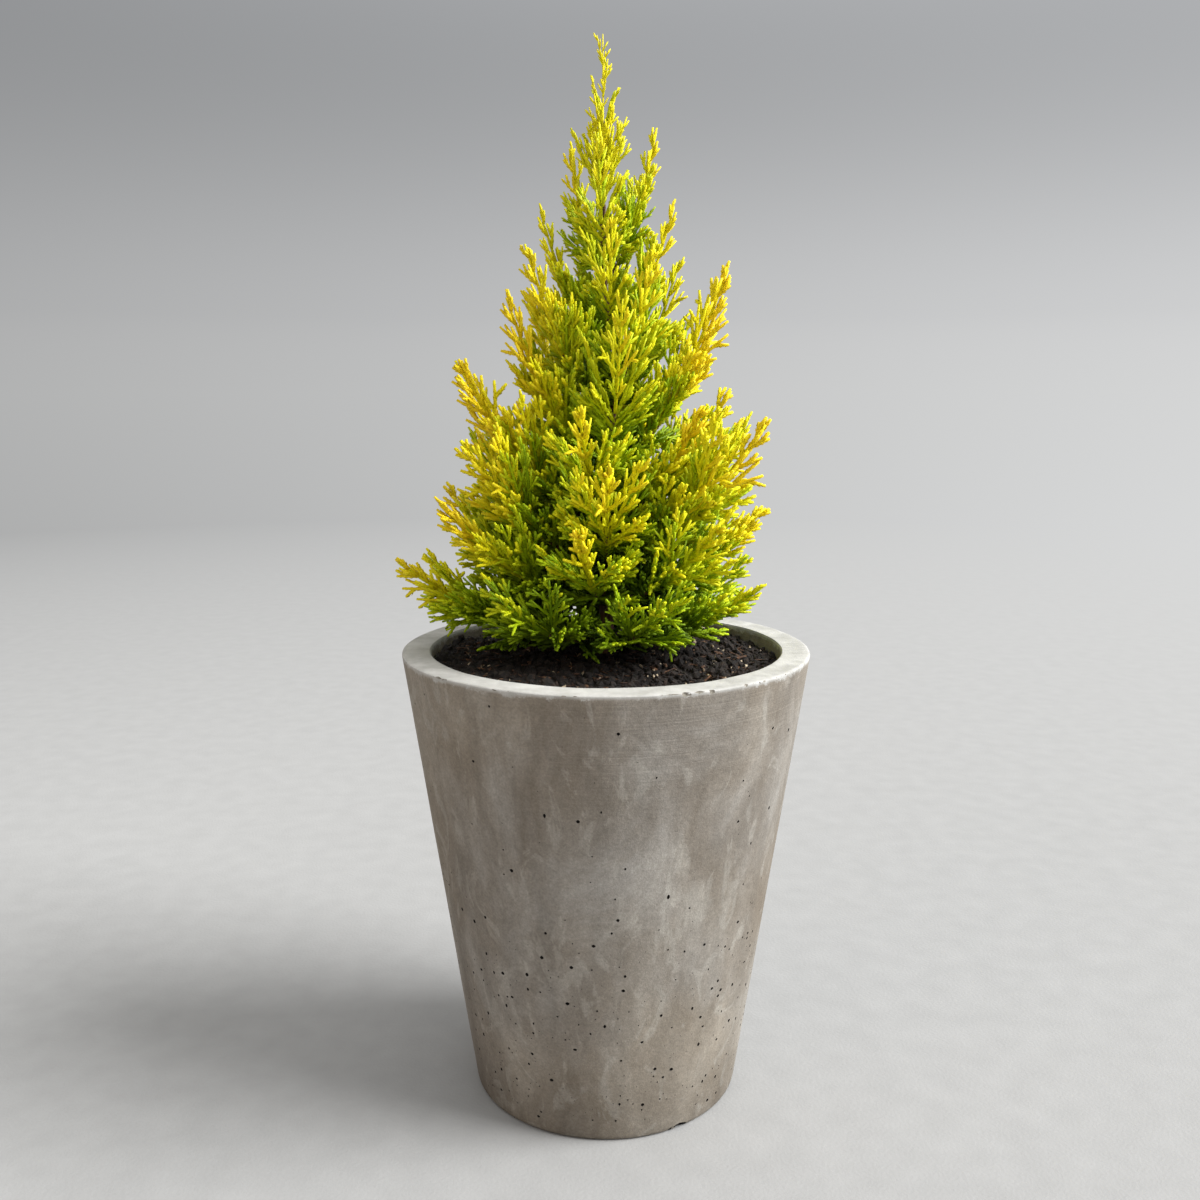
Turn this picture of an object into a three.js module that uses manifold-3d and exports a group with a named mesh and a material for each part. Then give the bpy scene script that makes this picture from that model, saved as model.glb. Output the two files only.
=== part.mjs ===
// A potted lemon cypress: a young cone-shaped conifer in a tapered concrete pot.
//
// Sizes are millimetres and +Z is up. The origin is the middle of the pot's flat underside,
// +X is to the right and -Y is towards the front.
//
// Every limb leaves the trunk at its own height and climbs between curved cones round the trunk. The
// cones are flatter near the soil and steeper near the top, so they never cross. The crown is shared out
// into cells, each between two such cones and two upright planes through the trunk, and each mass of
// foliage grows inside one cell, clear of its neighbours.
import * as THREE from "three";
import { mergeVertices } from "three/addons/utils/BufferGeometryUtils.js";
import Module from "manifold-3d";

const wasm = await Module();
wasm.setup();

const DEGREE = Math.PI / 180;
const GAP = 0.3; // between solids that meet

// Pot
const POT_HEIGHT = 400;
const RIM_RADIUS = 178;
const FOOT_RADIUS = 119;
const RIM_WALL = 25.5;
const FLOOR_WALL = 27;
const FLOOR_THICKNESS = 30;
const RIM_ARRIS = 3;
const FOOT_ARRIS = 5;
const POT_SIDES = 54;

// Soil, which is a little higher round the trunk and heaped in places
const SOIL_AT_TRUNK = 393.7;
const SOIL_AT_WALL = 389.5;
const SOIL_HEAP = 2.4;
const SOIL_HEAP_LENGTH = [31, 37, 17]; // of its long waves along X and Y, and of its short ones
const SOIL_FLAT_RADIUS = 14;
const SOIL_RINGS = [14, 38, 66, 94, 124];
const SOIL_SIDES = 30;

// Trunk
const GROUND = SOIL_AT_TRUNK + GAP;
const TRUNK_TOP = 772;
const TRUNK_FOOT_RADIUS = 9.5;
const TRUNK_RADIUS = 6.2;
const TRUNK_TIP_RADIUS = 1.9;
const FLARE_HEIGHT = 16;
const FLARE_LOBES = 5;
const FLARE_LOBE_DEPTH = 0.16;
const TRUNK_SWAY = 2.5;
const TRUNK_SWAY_TURNS = 0.8;
const TRUNK_SWAY_FORWARD = 0.6; // of the sway to the side
const TRUNK_SIDES = 10;
const TRUNK_STEPS = 12;

// Boughs
const BOUGH_RADIUS = 2.6;
const BOUGH_TIP_RADIUS = 1.9;
const BOUGH_SHARE = 0.17; // of the plume's reach
const BOUGH_SIDES = 5;
const ROOT_INSIDE = 0.6; // of the trunk's radius, where a limb starts

// Cones between which the limbs climb: how steeply the lowest one rises, and how much steeper a cone
// is for each millimetre that it starts higher on the trunk
const CROWN_FOOT = 399;
const LOWEST_SLOPE = 0.03;
const SLOPE_GAIN = 0.003;
const CURVE_GAIN = 4e-5; // the same for the curve upwards, for each millimetre of radius
const STEM_LEVEL_AT_TRUNK = 0.14; // share of the way from a cell's lower cone to its upper one

// Tiers of plumes from the soil up. from: where the tier's space starts on the trunk. level: how far
// up that space the plumes' tips are, as a share. first: the bearing of its first plume, in degrees
// from +X towards +Y. reach: how far each plume's tip stands from the trunk, going round. boughs:
// whether its plumes are carried on bare boughs.
const TIERS = [
  {
    name: "skirt",
    from: CROWN_FOOT,
    level: 0.66,
    first: 184,
    reach: [181, 150, 146, 142, 150, 150, 150],
    boughs: true,
  },
  { name: "low", from: 432, level: 0.5, first: 158, reach: [158, 156, 140, 140, 142, 140, 140], boughs: true },
  { name: "middle", from: 464, level: 0.4, first: 30, reach: [146, 124, 138, 138, 122, 148], golden: true },
  { name: "upper_middle", from: 498, level: 0.3, first: 198, reach: [131, 108, 108, 118, 106, 106], golden: true },
  { name: "upper", from: 538, level: 0.62, first: 350, reach: [104, 88, 98, 92, 90], golden: true },
  { name: "high", from: 592, level: 0.48, first: 30, reach: [76, 74, 78, 76] },
  { name: "spire", from: 642, level: 0.5, first: 5, reach: [59, 54, 57, 54] },
  { name: "top", from: 696, level: 0.55, first: 20, reach: [46, 43, 43] },
];
const SPIRE_TOP = 766; // where the leader's space starts on the trunk's line
const REACH_ROUNDING = 0.3; // how much less a plume reaches at its sides than at its middle

// Foliage. The rule sets out every frond and branchlet of the plant. The solids keep one frond in
// FROND_STEP of them, or in SLIM_FROND_STEP where the crown is slim, as a toothed blade with its
// branchlets larger than life.
const CLEAR = 1; // between foliage and the edge of its cell
const ROOM = 3; // between a frond's line and the edge of its cell
const STEM_RADIUS = 1.9; // of the longest plume
const STEM_THINNEST = 0.9;
const STEM_SIDES = 4;
const ROOT_CLEAR = 8; // from the trunk's line to the first frond
const STEM_SHARE = 0.56; // of the plume's reach, where its stem gives way to its end frond
const STEM_TAPER = 0.7; // radius of its end against its root
const LONG_REACH = 130; // of a plume whose stem is as thick as any
const FROND_PITCH = 3.4;
const FROND_STEP = 4;
const SLIM_FROND_STEP = 3;
const SLIM_REACH = 110;
const FROND_FAN_AT_ROOT = 80;
const FROND_FAN_AT_TIP = 24;
const FROND_RISE = 8;
const FROND_LIFT_AT_ROOT = 40;
const FROND_LIFT_AT_TIP = 16;
const FROND_ROLL = 30;
const END_FROND_ROLL = 45;
const FROND_LONGEST_SHARE = 0.5; // of the plume's reach, and more where the plume is steep
const END_FROND_LONGEST = 150;
const FROND_SHORTEST = 18;
const FROND_CURL = 0.1;
const BRANCHLET_PITCH = 11;
const BRANCHLETS_FROM = 0.1; // of the frond's length
const BRANCHLETS_TO = 0.95;
const BRANCHLET_ANGLE = 38;
const BRANCHLET_ANGLE_SPREAD = 10;
const BRANCHLET_SHARE = 0.48; // of the frond's length, for the longest ones
const BRANCHLET_FALL = 0.8; // below 1, they stay longer towards the frond's tip
const BRANCHLET_SHORTEST = 7;
const ENLARGED = 1.15; // length of the solids' branchlets against the rule's
const BLADE_THICKNESS = 2.2;
const BLADE_SUNK = 3;
const RACHIS_HALF = 2;
const TOOTH_SHARES = [1, 0.8, 0.6, 0.4]; // lengths tried for a tooth near the edge of its cell

// Cores
const CORE_REACH = 0.74; // of the plume's reach
const CORE_WIDTH = 0.92; // of the cell's
const CORE_THICKNESS = 0.9; // of the cell's
const CORE_CLEAR = 3;
const CORE_JAG = 0.5;
const CORE_FULL_INSIDE = 1.4; // above 1, a core is fuller towards the trunk
const CORE_SIDES = 5;
const CORE_RINGS = 4;

// Leader: the green end of the trunk, with small shoots
const LEADER_TIP = 906;
const LEADER_LEAN = -3;
const LEADER_SHOOTS = 9;
const LEADER_LOW_ANGLE = 30;
const LEADER_TOP_ANGLE = 14;
const LEADER_SHOOT_LONGEST = 60;
const LEADER_SHOOT_SHORTEST = 13;
const LEADER_SHOOT_FALL = 0.7; // below 1, the shoots shorten faster near the leader's foot
const LEADER_SHOOTS_FROM = 0.04; // of the leader's length
const LEADER_SHOOTS_TO = 0.82;
const LEADER_FIRST_BEARING = 190;
const LEADER_TIP_RADIUS = 0.9;
const LEADER_SPACE = 300; // its cell's height on the trunk's line, which is more than it fills
const LEADER_REACH = 60;
const LEADER_SIDES = 5;

const GOLDEN_ANGLE = 137.508 * DEGREE;
const UP = new THREE.Vector3(0, 0, 1);

const material = (color, roughness) => new THREE.MeshStandardMaterial({ color, roughness, metalness: 0 });
const CONCRETE = material(0xb4afa6, 0.8);
const EARTH = material(0x2c211b, 0.95);
const BARK = material(0x6d4a33, 0.85);
const GREEN = material(0x8fa81c, 0.6);
const GOLD = material(0xd2bd1a, 0.6);

const mix = (a, b, t) => a + (b - a) * t;
const clamp01 = (x) => Math.min(1, Math.max(0, x));

// Random numbers from 0 to 1, the same for the same seed
function seeded(seed) {
  let state = (seed * 2654435761) % 4294967296;
  return () => {
    state = (state * 1664525 + 1013904223) % 4294967296;
    return state / 4294967296;
  };
}

// Solids

function solidFrom(geometry) {
  const bare = geometry.clone();
  bare.deleteAttribute("normal");
  bare.deleteAttribute("uv");
  const merged = mergeVertices(bare, 1e-4);
  return new wasm.Manifold(
    new wasm.Mesh({
      numProp: 3,
      vertProperties: new Float32Array(merged.attributes.position.array),
      triVerts: new Uint32Array(merged.index.array),
    }),
  );
}

function geometryFrom(solid) {
  const mesh = solid.getMesh();
  const geometry = new THREE.BufferGeometry();
  geometry.setAttribute("position", new THREE.BufferAttribute(new Float32Array(mesh.vertProperties), 3));
  geometry.setIndex(new THREE.BufferAttribute(new Uint32Array(mesh.triVerts), 1));
  geometry.computeVertexNormals();
  return geometry;
}

// The largest body of a solid, so that a loose scrap is dropped and a sealed hollow is filled
function largestBody(solid) {
  const bodies = solid.decompose();
  return bodies.reduce((best, body) => (body.volume() > best.volume() ? body : best));
}

function meshOf(name, geometry, look) {
  const mesh = new THREE.Mesh(geometry, look);
  mesh.name = name;
  return mesh;
}

// A cylinder bent along a curve, with its radius given for the share of its length
function limbGeometry(curve, radiusAt, sides, steps, lobeAt = () => 1) {
  const geometry = new THREE.CylinderGeometry(1, 1, 1, sides, steps);
  const position = geometry.attributes.position;
  const across = new THREE.Vector3();
  const beside = new THREE.Vector3();
  for (let i = 0; i < position.count; i++) {
    const share = clamp01(position.getY(i) + 0.5);
    const onSurface = Math.hypot(position.getX(i), position.getZ(i)) > 1e-6;
    const angle = Math.atan2(position.getZ(i), position.getX(i));
    const centre = curve.getPoint(share);
    const along = curve.getTangent(share);
    across.set(1, 0, 0);
    if (Math.abs(along.x) > 0.9) across.set(0, 1, 0);
    across.addScaledVector(along, -across.dot(along)).normalize();
    beside.crossVectors(along, across);
    const radius = onSurface ? radiusAt(share) * lobeAt(share, angle) : 0;
    centre.addScaledVector(across, radius * Math.cos(angle));
    centre.addScaledVector(beside, -radius * Math.sin(angle));
    position.setXYZ(i, centre.x, centre.y, centre.z);
  }
  return geometry;
}

const taper = (from, to) => (share) => mix(from, to, share);

// Pot and soil

const outerRadius = (z) => mix(FOOT_RADIUS, RIM_RADIUS, z / POT_HEIGHT);

function innerRadius(z) {
  const atFloor = outerRadius(FLOOR_THICKNESS) - FLOOR_WALL;
  const share = (z - FLOOR_THICKNESS) / (POT_HEIGHT - FLOOR_THICKNESS);
  return mix(atFloor, RIM_RADIUS - RIM_WALL, share);
}

// Turns a profile of (radius, height) points round the Z axis
function turned(profile, sides) {
  return new THREE.LatheGeometry(profile, sides).rotateX(Math.PI / 2);
}

function potGeometry() {
  const outline = new THREE.Path();
  outline.moveTo(0, 0);
  outline.lineTo(FOOT_RADIUS - FOOT_ARRIS, 0);
  outline.quadraticCurveTo(FOOT_RADIUS, 0, outerRadius(FOOT_ARRIS), FOOT_ARRIS);
  outline.lineTo(outerRadius(POT_HEIGHT - RIM_ARRIS), POT_HEIGHT - RIM_ARRIS);
  outline.quadraticCurveTo(RIM_RADIUS, POT_HEIGHT, RIM_RADIUS - RIM_ARRIS, POT_HEIGHT);
  outline.lineTo(innerRadius(POT_HEIGHT) + RIM_ARRIS, POT_HEIGHT);
  const innerEdge = POT_HEIGHT - RIM_ARRIS;
  outline.quadraticCurveTo(innerRadius(POT_HEIGHT), POT_HEIGHT, innerRadius(innerEdge), innerEdge);
  outline.lineTo(innerRadius(FLOOR_THICKNESS), FLOOR_THICKNESS);
  outline.lineTo(0, FLOOR_THICKNESS);
  const profile = outline.getPoints(2);
  profile[0].x = 0;
  profile[profile.length - 1].x = 0;
  return turned(profile, POT_SIDES);
}

// Height of the soil at a place in the pot
function soilHeight(x, y) {
  const radius = Math.hypot(x, y);
  const slope = mix(SOIL_AT_TRUNK, SOIL_AT_WALL, clamp01(radius / innerRadius(SOIL_AT_WALL)));
  const [longX, longY, short] = SOIL_HEAP_LENGTH;
  const heaps = Math.sin(x / longX + 0.6) * Math.cos(y / longY - 0.4) + 0.4 * Math.sin((x + y) / short);
  const away = clamp01((radius - SOIL_FLAT_RADIUS) / SOIL_FLAT_RADIUS);
  return mix(SOIL_AT_TRUNK, slope + SOIL_HEAP * heaps, away);
}

function soilGeometry() {
  const bottom = FLOOR_THICKNESS + GAP;
  const edge = innerRadius(SOIL_AT_WALL) - 2 * GAP;
  const profile = [new THREE.Vector2(0, bottom), new THREE.Vector2(innerRadius(bottom) - 2 * GAP, bottom)];
  for (const radius of [edge, ...[...SOIL_RINGS].reverse(), 0]) {
    profile.push(new THREE.Vector2(radius, SOIL_AT_WALL));
  }
  const geometry = turned(profile, SOIL_SIDES);
  const position = geometry.attributes.position;
  for (let i = 0; i < position.count; i++) {
    const [x, y, z] = [position.getX(i), position.getY(i), position.getZ(i)];
    if (Math.hypot(x, y) > edge - 1 && z > bottom + 1) {
      // The rim of the soil stays on the pot's wall while it rises and falls
      const height = Math.min(soilHeight(x, y), SOIL_AT_WALL + 2 * GAP);
      const fitted = (innerRadius(height) - 2 * GAP) / Math.hypot(x, y);
      position.setXYZ(i, x * fitted, y * fitted, height);
    } else if (z > bottom + 1) {
      position.setZ(i, soilHeight(x, y));
    }
  }
  return geometry;
}

// Trunk

function trunkPoint(share) {
  const sway = TRUNK_SWAY * Math.sin(share * TRUNK_SWAY_TURNS * 2 * Math.PI);
  return new THREE.Vector3(sway * share, -sway * TRUNK_SWAY_FORWARD * share, mix(GROUND, TRUNK_TOP, share));
}

// Its steps are closer together in the flare
const trunkStep = (share) => share ** 1.7;

class TrunkLine extends THREE.Curve {
  getPoint(share) {
    return trunkPoint(trunkStep(share));
  }

  // Upright, so that the cut at the ground is level
  getTangent() {
    return UP.clone();
  }
}

function trunkRadiusAt(share) {
  const aboveGround = share * (TRUNK_TOP - GROUND);
  const flare = (TRUNK_FOOT_RADIUS - TRUNK_RADIUS) * Math.exp(-aboveGround / FLARE_HEIGHT);
  return mix(TRUNK_RADIUS, TRUNK_TIP_RADIUS, share) + flare;
}

function trunkSolid(thicker = 0) {
  const lobes = (share, angle) => {
    const fade = Math.exp((-trunkStep(share) * (TRUNK_TOP - GROUND)) / FLARE_HEIGHT);
    return 1 + FLARE_LOBE_DEPTH * fade * Math.cos(FLARE_LOBES * angle);
  };
  const radiusAt = (share) => trunkRadiusAt(trunkStep(share)) + thicker;
  return solidFrom(limbGeometry(new TrunkLine(), radiusAt, TRUNK_SIDES, TRUNK_STEPS, lobes));
}

const trunk = trunkSolid();
const trunkAndGap = trunkSolid(GAP);

// Cells of the crown

// Height of a cone at a radius. start: where it starts on the trunk.
function coneHeight(start, radius) {
  const above = start - CROWN_FOOT;
  return start + LOWEST_SLOPE * radius + above * radius * (SLOPE_GAIN + CURVE_GAIN * radius);
}

function coneSlope(start, radius) {
  return LOWEST_SLOPE + (start - CROWN_FOOT) * (SLOPE_GAIN + 2 * CURVE_GAIN * radius);
}

const coneSpread = (radius) => 1 + radius * (SLOPE_GAIN + CURVE_GAIN * radius);

// The height on the trunk where the cone through a point starts
function coneStart(radius, z) {
  return CROWN_FOOT + (z - CROWN_FOOT - LOWEST_SLOPE * radius) / coneSpread(radius);
}

function turnBetween(a, b) {
  const turn = (a - b) % (2 * Math.PI);
  if (turn > Math.PI) return turn - 2 * Math.PI;
  return turn < -Math.PI ? turn + 2 * Math.PI : turn;
}

class Cell {
  constructor(low, high, bearing, halfWidth, reach, tipLevel = STEM_LEVEL_AT_TRUNK) {
    Object.assign(this, { low, high, bearing, halfWidth, reach, tipLevel });
  }

  // How far up the cell the stem is at a radius, as a share, which is higher further out
  levelAt(radius) {
    return mix(STEM_LEVEL_AT_TRUNK, this.tipLevel, radius / this.reach);
  }

  // Where the cone that the stem is on at a radius starts on the trunk
  startAt(radius) {
    return mix(this.low, this.high, this.levelAt(radius));
  }

  // How far inside the cell a point is, in mm. It is negative outside.
  depth(point) {
    const radius = Math.hypot(point.x, point.y);
    const turn = Math.abs(turnBetween(Math.atan2(point.y, point.x), this.bearing));
    const start = coneStart(radius, point.z);
    const spread = coneSpread(radius) / Math.hypot(1, coneSlope(start, radius));
    const rounding = 1 - REACH_ROUNDING * (turn / this.halfWidth) ** 2;
    const share = clamp01((point.z - GROUND) / (TRUNK_TOP - GROUND));
    return Math.min(
      (start - this.low) * spread,
      (this.high - start) * spread,
      this.halfWidth < Math.PI ? radius * Math.sin(this.halfWidth - turn) : Infinity,
      this.reach * rounding - radius + CLEAR,
      point.z < TRUNK_TOP ? radius - trunkRadiusAt(share) - TRUNK_SWAY : Infinity,
    );
  }

  // A point at a radius and a turn from the middle, on the cone that starts at a height on the trunk
  point(radius, turn, start) {
    const bearing = this.bearing + turn;
    const height = coneHeight(start, radius);
    return new THREE.Vector3(radius * Math.cos(bearing), radius * Math.sin(bearing), height);
  }

  // A point of the stem's line, at a distance from the trunk's line
  middle(radius) {
    return this.point(radius, 0, this.startAt(radius));
  }

  // How steeply the stem's line climbs at a distance from the trunk's line
  slope(radius) {
    const climb = ((this.high - this.low) * (this.tipLevel - STEM_LEVEL_AT_TRUNK)) / this.reach;
    return coneSlope(this.startAt(radius), radius) + climb * coneSpread(radius);
  }

  // The direction of the stem's line, outwards and up
  outward(radius) {
    const slope = this.slope(radius);
    return new THREE.Vector3(Math.cos(this.bearing), Math.sin(this.bearing), slope).normalize();
  }
}

// Foliage, by the plant's rule

// A frond: a twig that curls up a little from its start along a direction, with branchlets set
// alternately left and right of it in its own plane
class Frond {
  constructor(start, along, face, length, seed) {
    Object.assign(this, { start, along, face, length, seed });
    this.across = new THREE.Vector3().crossVectors(face, along).normalize();
  }

  pointAt(share) {
    return this.start
      .clone()
      .addScaledVector(this.along, this.length * share)
      .addScaledVector(UP, FROND_CURL * this.length * share * share);
  }

  branchlets() {
    const random = seeded(this.seed);
    const count = Math.max(3, Math.round(this.length / BRANCHLET_PITCH));
    const found = [];
    for (let i = 0; i < count; i++) {
      const share = mix(BRANCHLETS_FROM, BRANCHLETS_TO, (i + 0.5) / count);
      const side = i % 2 ? 1 : -1;
      const angle = (BRANCHLET_ANGLE + BRANCHLET_ANGLE_SPREAD * (random() - 0.5)) * DEGREE;
      const shorter = Math.min(1, 2.4 * share) * (1.08 - share) ** BRANCHLET_FALL;
      const full = BRANCHLET_SHARE * this.length * shorter;
      const length = Math.max(BRANCHLET_SHORTEST, full * mix(0.8, 1.15, random()));
      const along = this.along
        .clone()
        .multiplyScalar(Math.cos(angle))
        .addScaledVector(this.across, side * Math.sin(angle))
        .addScaledVector(UP, FROND_CURL * share)
        .normalize();
      found.push({ start: this.pointAt(share), along, length, share, side, angle });
    }
    return found;
  }
}

// How far a frond can grow from a point before it leaves its cell
function roomFor(cell, start, along, longest) {
  const step = 3;
  let length = 0;
  while (length + step <= longest) {
    const next = length + step;
    const point = start.clone().addScaledVector(along, next).addScaledVector(UP, FROND_CURL * next);
    if (cell.depth(point) < ROOM) break;
    length = next;
  }
  return length;
}

// A mass's stem and its fronds, from the stem's root to its end. The first one is the end frond.
function massPlan(cell, root, seed) {
  const stemLength = cell.reach * STEM_SHARE - root.length;
  const sideways = new THREE.Vector3(-Math.sin(cell.bearing), Math.cos(cell.bearing), 0);
  const steepness = Math.hypot(1, cell.slope(root.length + stemLength / 2));
  const longest = FROND_LONGEST_SHARE * cell.reach * Math.sqrt(steepness) + FROND_SHORTEST;
  const count = Math.max(4, Math.round((stemLength * steepness) / FROND_PITCH));
  const fronds = [];
  for (let i = 0; i <= count; i++) {
    const random = seeded(seed * 100 + i);
    const share = i === 0 ? 1 : (0.97 * (i - 0.5)) / count;
    const radius = root.length + stemLength * share;
    const outward = cell.outward(radius);
    const above = new THREE.Vector3().crossVectors(outward, sideways);
    const side = i % 2 ? 1 : -1;
    const spread = i === 0 ? 0 : mix(FROND_FAN_AT_ROOT, FROND_FAN_AT_TIP, share);
    const fan = side * spread * mix(0.7, 1.15, random()) * DEGREE;
    const liftRange = i === 0 ? 0 : mix(FROND_LIFT_AT_ROOT, FROND_LIFT_AT_TIP, share);
    const lift = (FROND_RISE + liftRange * (2 * random() - 1)) * DEGREE;
    const facing = i === 0 ? END_FROND_ROLL : 90 * (Math.floor(i / 2) % 2);
    const roll = (facing + FROND_ROLL * (2 * random() - 1)) * DEGREE;
    const vigour = i === 0 ? 1 : mix(0.8, 1, random());
    const along = outward
      .clone()
      .multiplyScalar(Math.cos(fan) * Math.cos(lift))
      .addScaledVector(sideways, Math.sin(fan) * Math.cos(lift))
      .addScaledVector(above, Math.sin(lift))
      .normalize();
    const start = cell.middle(radius);
    const length = roomFor(cell, start, along, i === 0 ? END_FROND_LONGEST : longest) * vigour;
    if (length < FROND_SHORTEST) continue;
    const face = above.clone().addScaledVector(along, -above.dot(along)).normalize();
    face.applyAxisAngle(along, roll);
    fronds.push(new Frond(start, along, face, length, seed * 100 + i));
  }
  return fronds;
}

// Foliage solids

// A point of a frond's blade, at a distance along it, across it and above it
function bladePoint(frond, ahead, out, above) {
  return frond
    .pointAt(ahead / frond.length)
    .addScaledVector(frond.across, out)
    .addScaledVector(frond.face, above);
}

// The tip of a branchlet's tooth as (along, across). It is shortened in steps until it is inside the
// cell, and then given up.
function toothTip(cell, frond, branchlet) {
  for (const share of TOOTH_SHARES) {
    const length = branchlet.length * ENLARGED * share;
    const ahead = branchlet.share * frond.length + Math.cos(branchlet.angle) * length;
    const out = branchlet.side * (RACHIS_HALF + Math.sin(branchlet.angle) * length);
    const faces = [-BLADE_THICKNESS / 2, BLADE_THICKNESS / 2];
    if (faces.every((above) => cell.depth(bladePoint(frond, ahead, out, above)) > CLEAR)) {
      return new THREE.Vector2(ahead, out);
    }
  }
  return null;
}

// The teeth of a frond's blade on one side, from its root to its tip, as (along, across) points
function teeth(cell, frond, side) {
  const points = [];
  for (const branchlet of frond.branchlets()) {
    if (branchlet.side !== side) continue;
    const tip = toothTip(cell, frond, branchlet);
    if (tip) points.push(new THREE.Vector2(branchlet.share * frond.length, side * RACHIS_HALF), tip);
  }
  return points;
}

// A frond as a toothed blade: a thin piece in the outline of its twig and branchlets, curled up
function bladeGeometry(cell, frond) {
  const outline = [
    new THREE.Vector2(-BLADE_SUNK, 0),
    ...teeth(cell, frond, -1),
    new THREE.Vector2(frond.length, 0),
    ...teeth(cell, frond, 1).reverse(),
  ];
  const options = { depth: BLADE_THICKNESS, bevelEnabled: false };
  const geometry = new THREE.ExtrudeGeometry(new THREE.Shape(outline), options);
  geometry.translate(0, 0, -BLADE_THICKNESS / 2);
  const position = geometry.attributes.position;
  for (let i = 0; i < position.count; i++) {
    const point = bladePoint(frond, position.getX(i), position.getY(i), position.getZ(i));
    position.setXYZ(i, point.x, point.y, point.z);
  }
  return geometry;
}

function staysInside(cell, geometry, margin = CLEAR) {
  const position = geometry.attributes.position;
  const point = new THREE.Vector3();
  for (let i = 0; i < position.count; i++) {
    if (cell.depth(point.fromBufferAttribute(position, i)) < margin) return false;
  }
  return true;
}

// The mass's core: a jagged wedge round the stem that follows the shape of the cell, from the stem's
// root outwards
function coreSolid(cell, root, seed) {
  const core = new THREE.SphereGeometry(1, CORE_SIDES, CORE_RINGS);
  const position = core.attributes.position;
  const halfWidth = cell.halfWidth * CORE_WIDTH;
  for (let i = 0; i < position.count; i++) {
    const [x, y, z] = [position.getX(i), position.getY(i), position.getZ(i)];
    const column = (i % (CORE_SIDES + 1)) % CORE_SIDES;
    const ring = Math.floor(i / (CORE_SIDES + 1));
    const jag = seeded(seed * 1000 + ring * CORE_SIDES + column)() < 0.5 ? 1 - CORE_JAG : 1;
    const inner = root.length + CORE_CLEAR;
    const radius = mix(inner, cell.reach * CORE_REACH, ((y + 1) / 2) ** CORE_FULL_INSIDE);
    const level = cell.levelAt(radius);
    const room = z > 0 ? 1 - level : level;
    const start = mix(cell.low, cell.high, level + z * jag * CORE_THICKNESS * room);
    const point = cell.point(radius, -x * jag * halfWidth, start);
    position.setXYZ(i, point.x, point.y, point.z);
  }
  return solidFrom(core);
}

// A limb that follows the middle of its cell from one distance to another. A limb that starts in the
// trunk starts a little off the cell's line, where the trunk leans to.
class LimbLine extends THREE.Curve {
  constructor(cell, from, to) {
    super();
    const share = clamp01((cell.startAt(0) - GROUND) / (TRUNK_TOP - GROUND));
    const inTrunk = from === 0;
    this.cell = cell;
    this.from = inTrunk ? trunkRadiusAt(share) * ROOT_INSIDE : from;
    this.to = to;
    this.lean = inTrunk ? trunkPoint(share).setZ(0) : new THREE.Vector3();
  }

  getPoint(share) {
    return this.cell.middle(mix(this.from, this.to, share)).addScaledVector(this.lean, 1 - share);
  }

  getTangent(share) {
    return this.cell.outward(mix(this.from, this.to, share));
  }
}

const stemRadius = (reach) => mix(STEM_THINNEST, STEM_RADIUS, clamp01(reach / LONG_REACH));

function massSolid(cell, root, seed) {
  const stem = new LimbLine(cell, root.inTrunk ? 0 : root.length, cell.reach * STEM_SHARE);
  let solid = solidFrom(limbGeometry(stem, taper(root.radius, root.radius * STEM_TAPER), STEM_SIDES, 2));
  if (root.inTrunk) solid = solid.subtract(trunkAndGap);
  solid = solid.add(coreSolid(cell, root, seed));
  const step = cell.reach < SLIM_REACH ? SLIM_FROND_STEP : FROND_STEP;
  massPlan(cell, root, seed).forEach((frond, i) => {
    if (i % step !== 0) return;
    const blade = bladeGeometry(cell, frond);
    if (staysInside(cell, blade, GAP)) solid = solid.add(solidFrom(blade));
  });
  return largestBody(solid);
}

function boughSolid(cell, length) {
  const line = new LimbLine(cell, 0, length);
  const bough = solidFrom(limbGeometry(line, taper(BOUGH_RADIUS, BOUGH_TIP_RADIUS), BOUGH_SIDES, 2));
  return bough.subtract(trunkAndGap);
}

// Leader

function leaderSolid() {
  const cell = new Cell(SPIRE_TOP, SPIRE_TOP + LEADER_SPACE, 0, Math.PI, LEADER_REACH);
  const foot = trunkPoint(1).add(new THREE.Vector3(0, 0, GAP));
  const tip = new THREE.Vector3(LEADER_LEAN, 0, LEADER_TIP);
  const curve = new THREE.QuadraticBezierCurve3(foot, foot.clone().lerp(tip, 0.5).setX(foot.x), tip);
  curve.getTangent = () => UP.clone();
  const radiusAt = taper(TRUNK_TIP_RADIUS, LEADER_TIP_RADIUS);
  let solid = solidFrom(limbGeometry(curve, radiusAt, LEADER_SIDES, LEADER_SIDES));
  for (let i = 0; i < LEADER_SHOOTS; i++) {
    const share = mix(LEADER_SHOOTS_FROM, LEADER_SHOOTS_TO, i / (LEADER_SHOOTS - 1));
    const bearing = LEADER_FIRST_BEARING * DEGREE + i * GOLDEN_ANGLE;
    const out = new THREE.Vector3(Math.cos(bearing), Math.sin(bearing), 0);
    const angle = mix(LEADER_LOW_ANGLE, LEADER_TOP_ANGLE, share) * DEGREE;
    const along = UP.clone().multiplyScalar(Math.cos(angle)).addScaledVector(out, Math.sin(angle));
    const across = new THREE.Vector3().crossVectors(UP, out);
    const face = new THREE.Vector3().crossVectors(along, across);
    const length = mix(LEADER_SHOOT_LONGEST, LEADER_SHOOT_SHORTEST, share ** LEADER_SHOOT_FALL);
    const blade = bladeGeometry(cell, new Frond(curve.getPoint(share), along, face, length, i + 1));
    if (staysInside(cell, blade, GAP)) solid = solid.add(solidFrom(blade));
  }
  return largestBody(solid);
}

// The plant

const plant = new THREE.Group();

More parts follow.
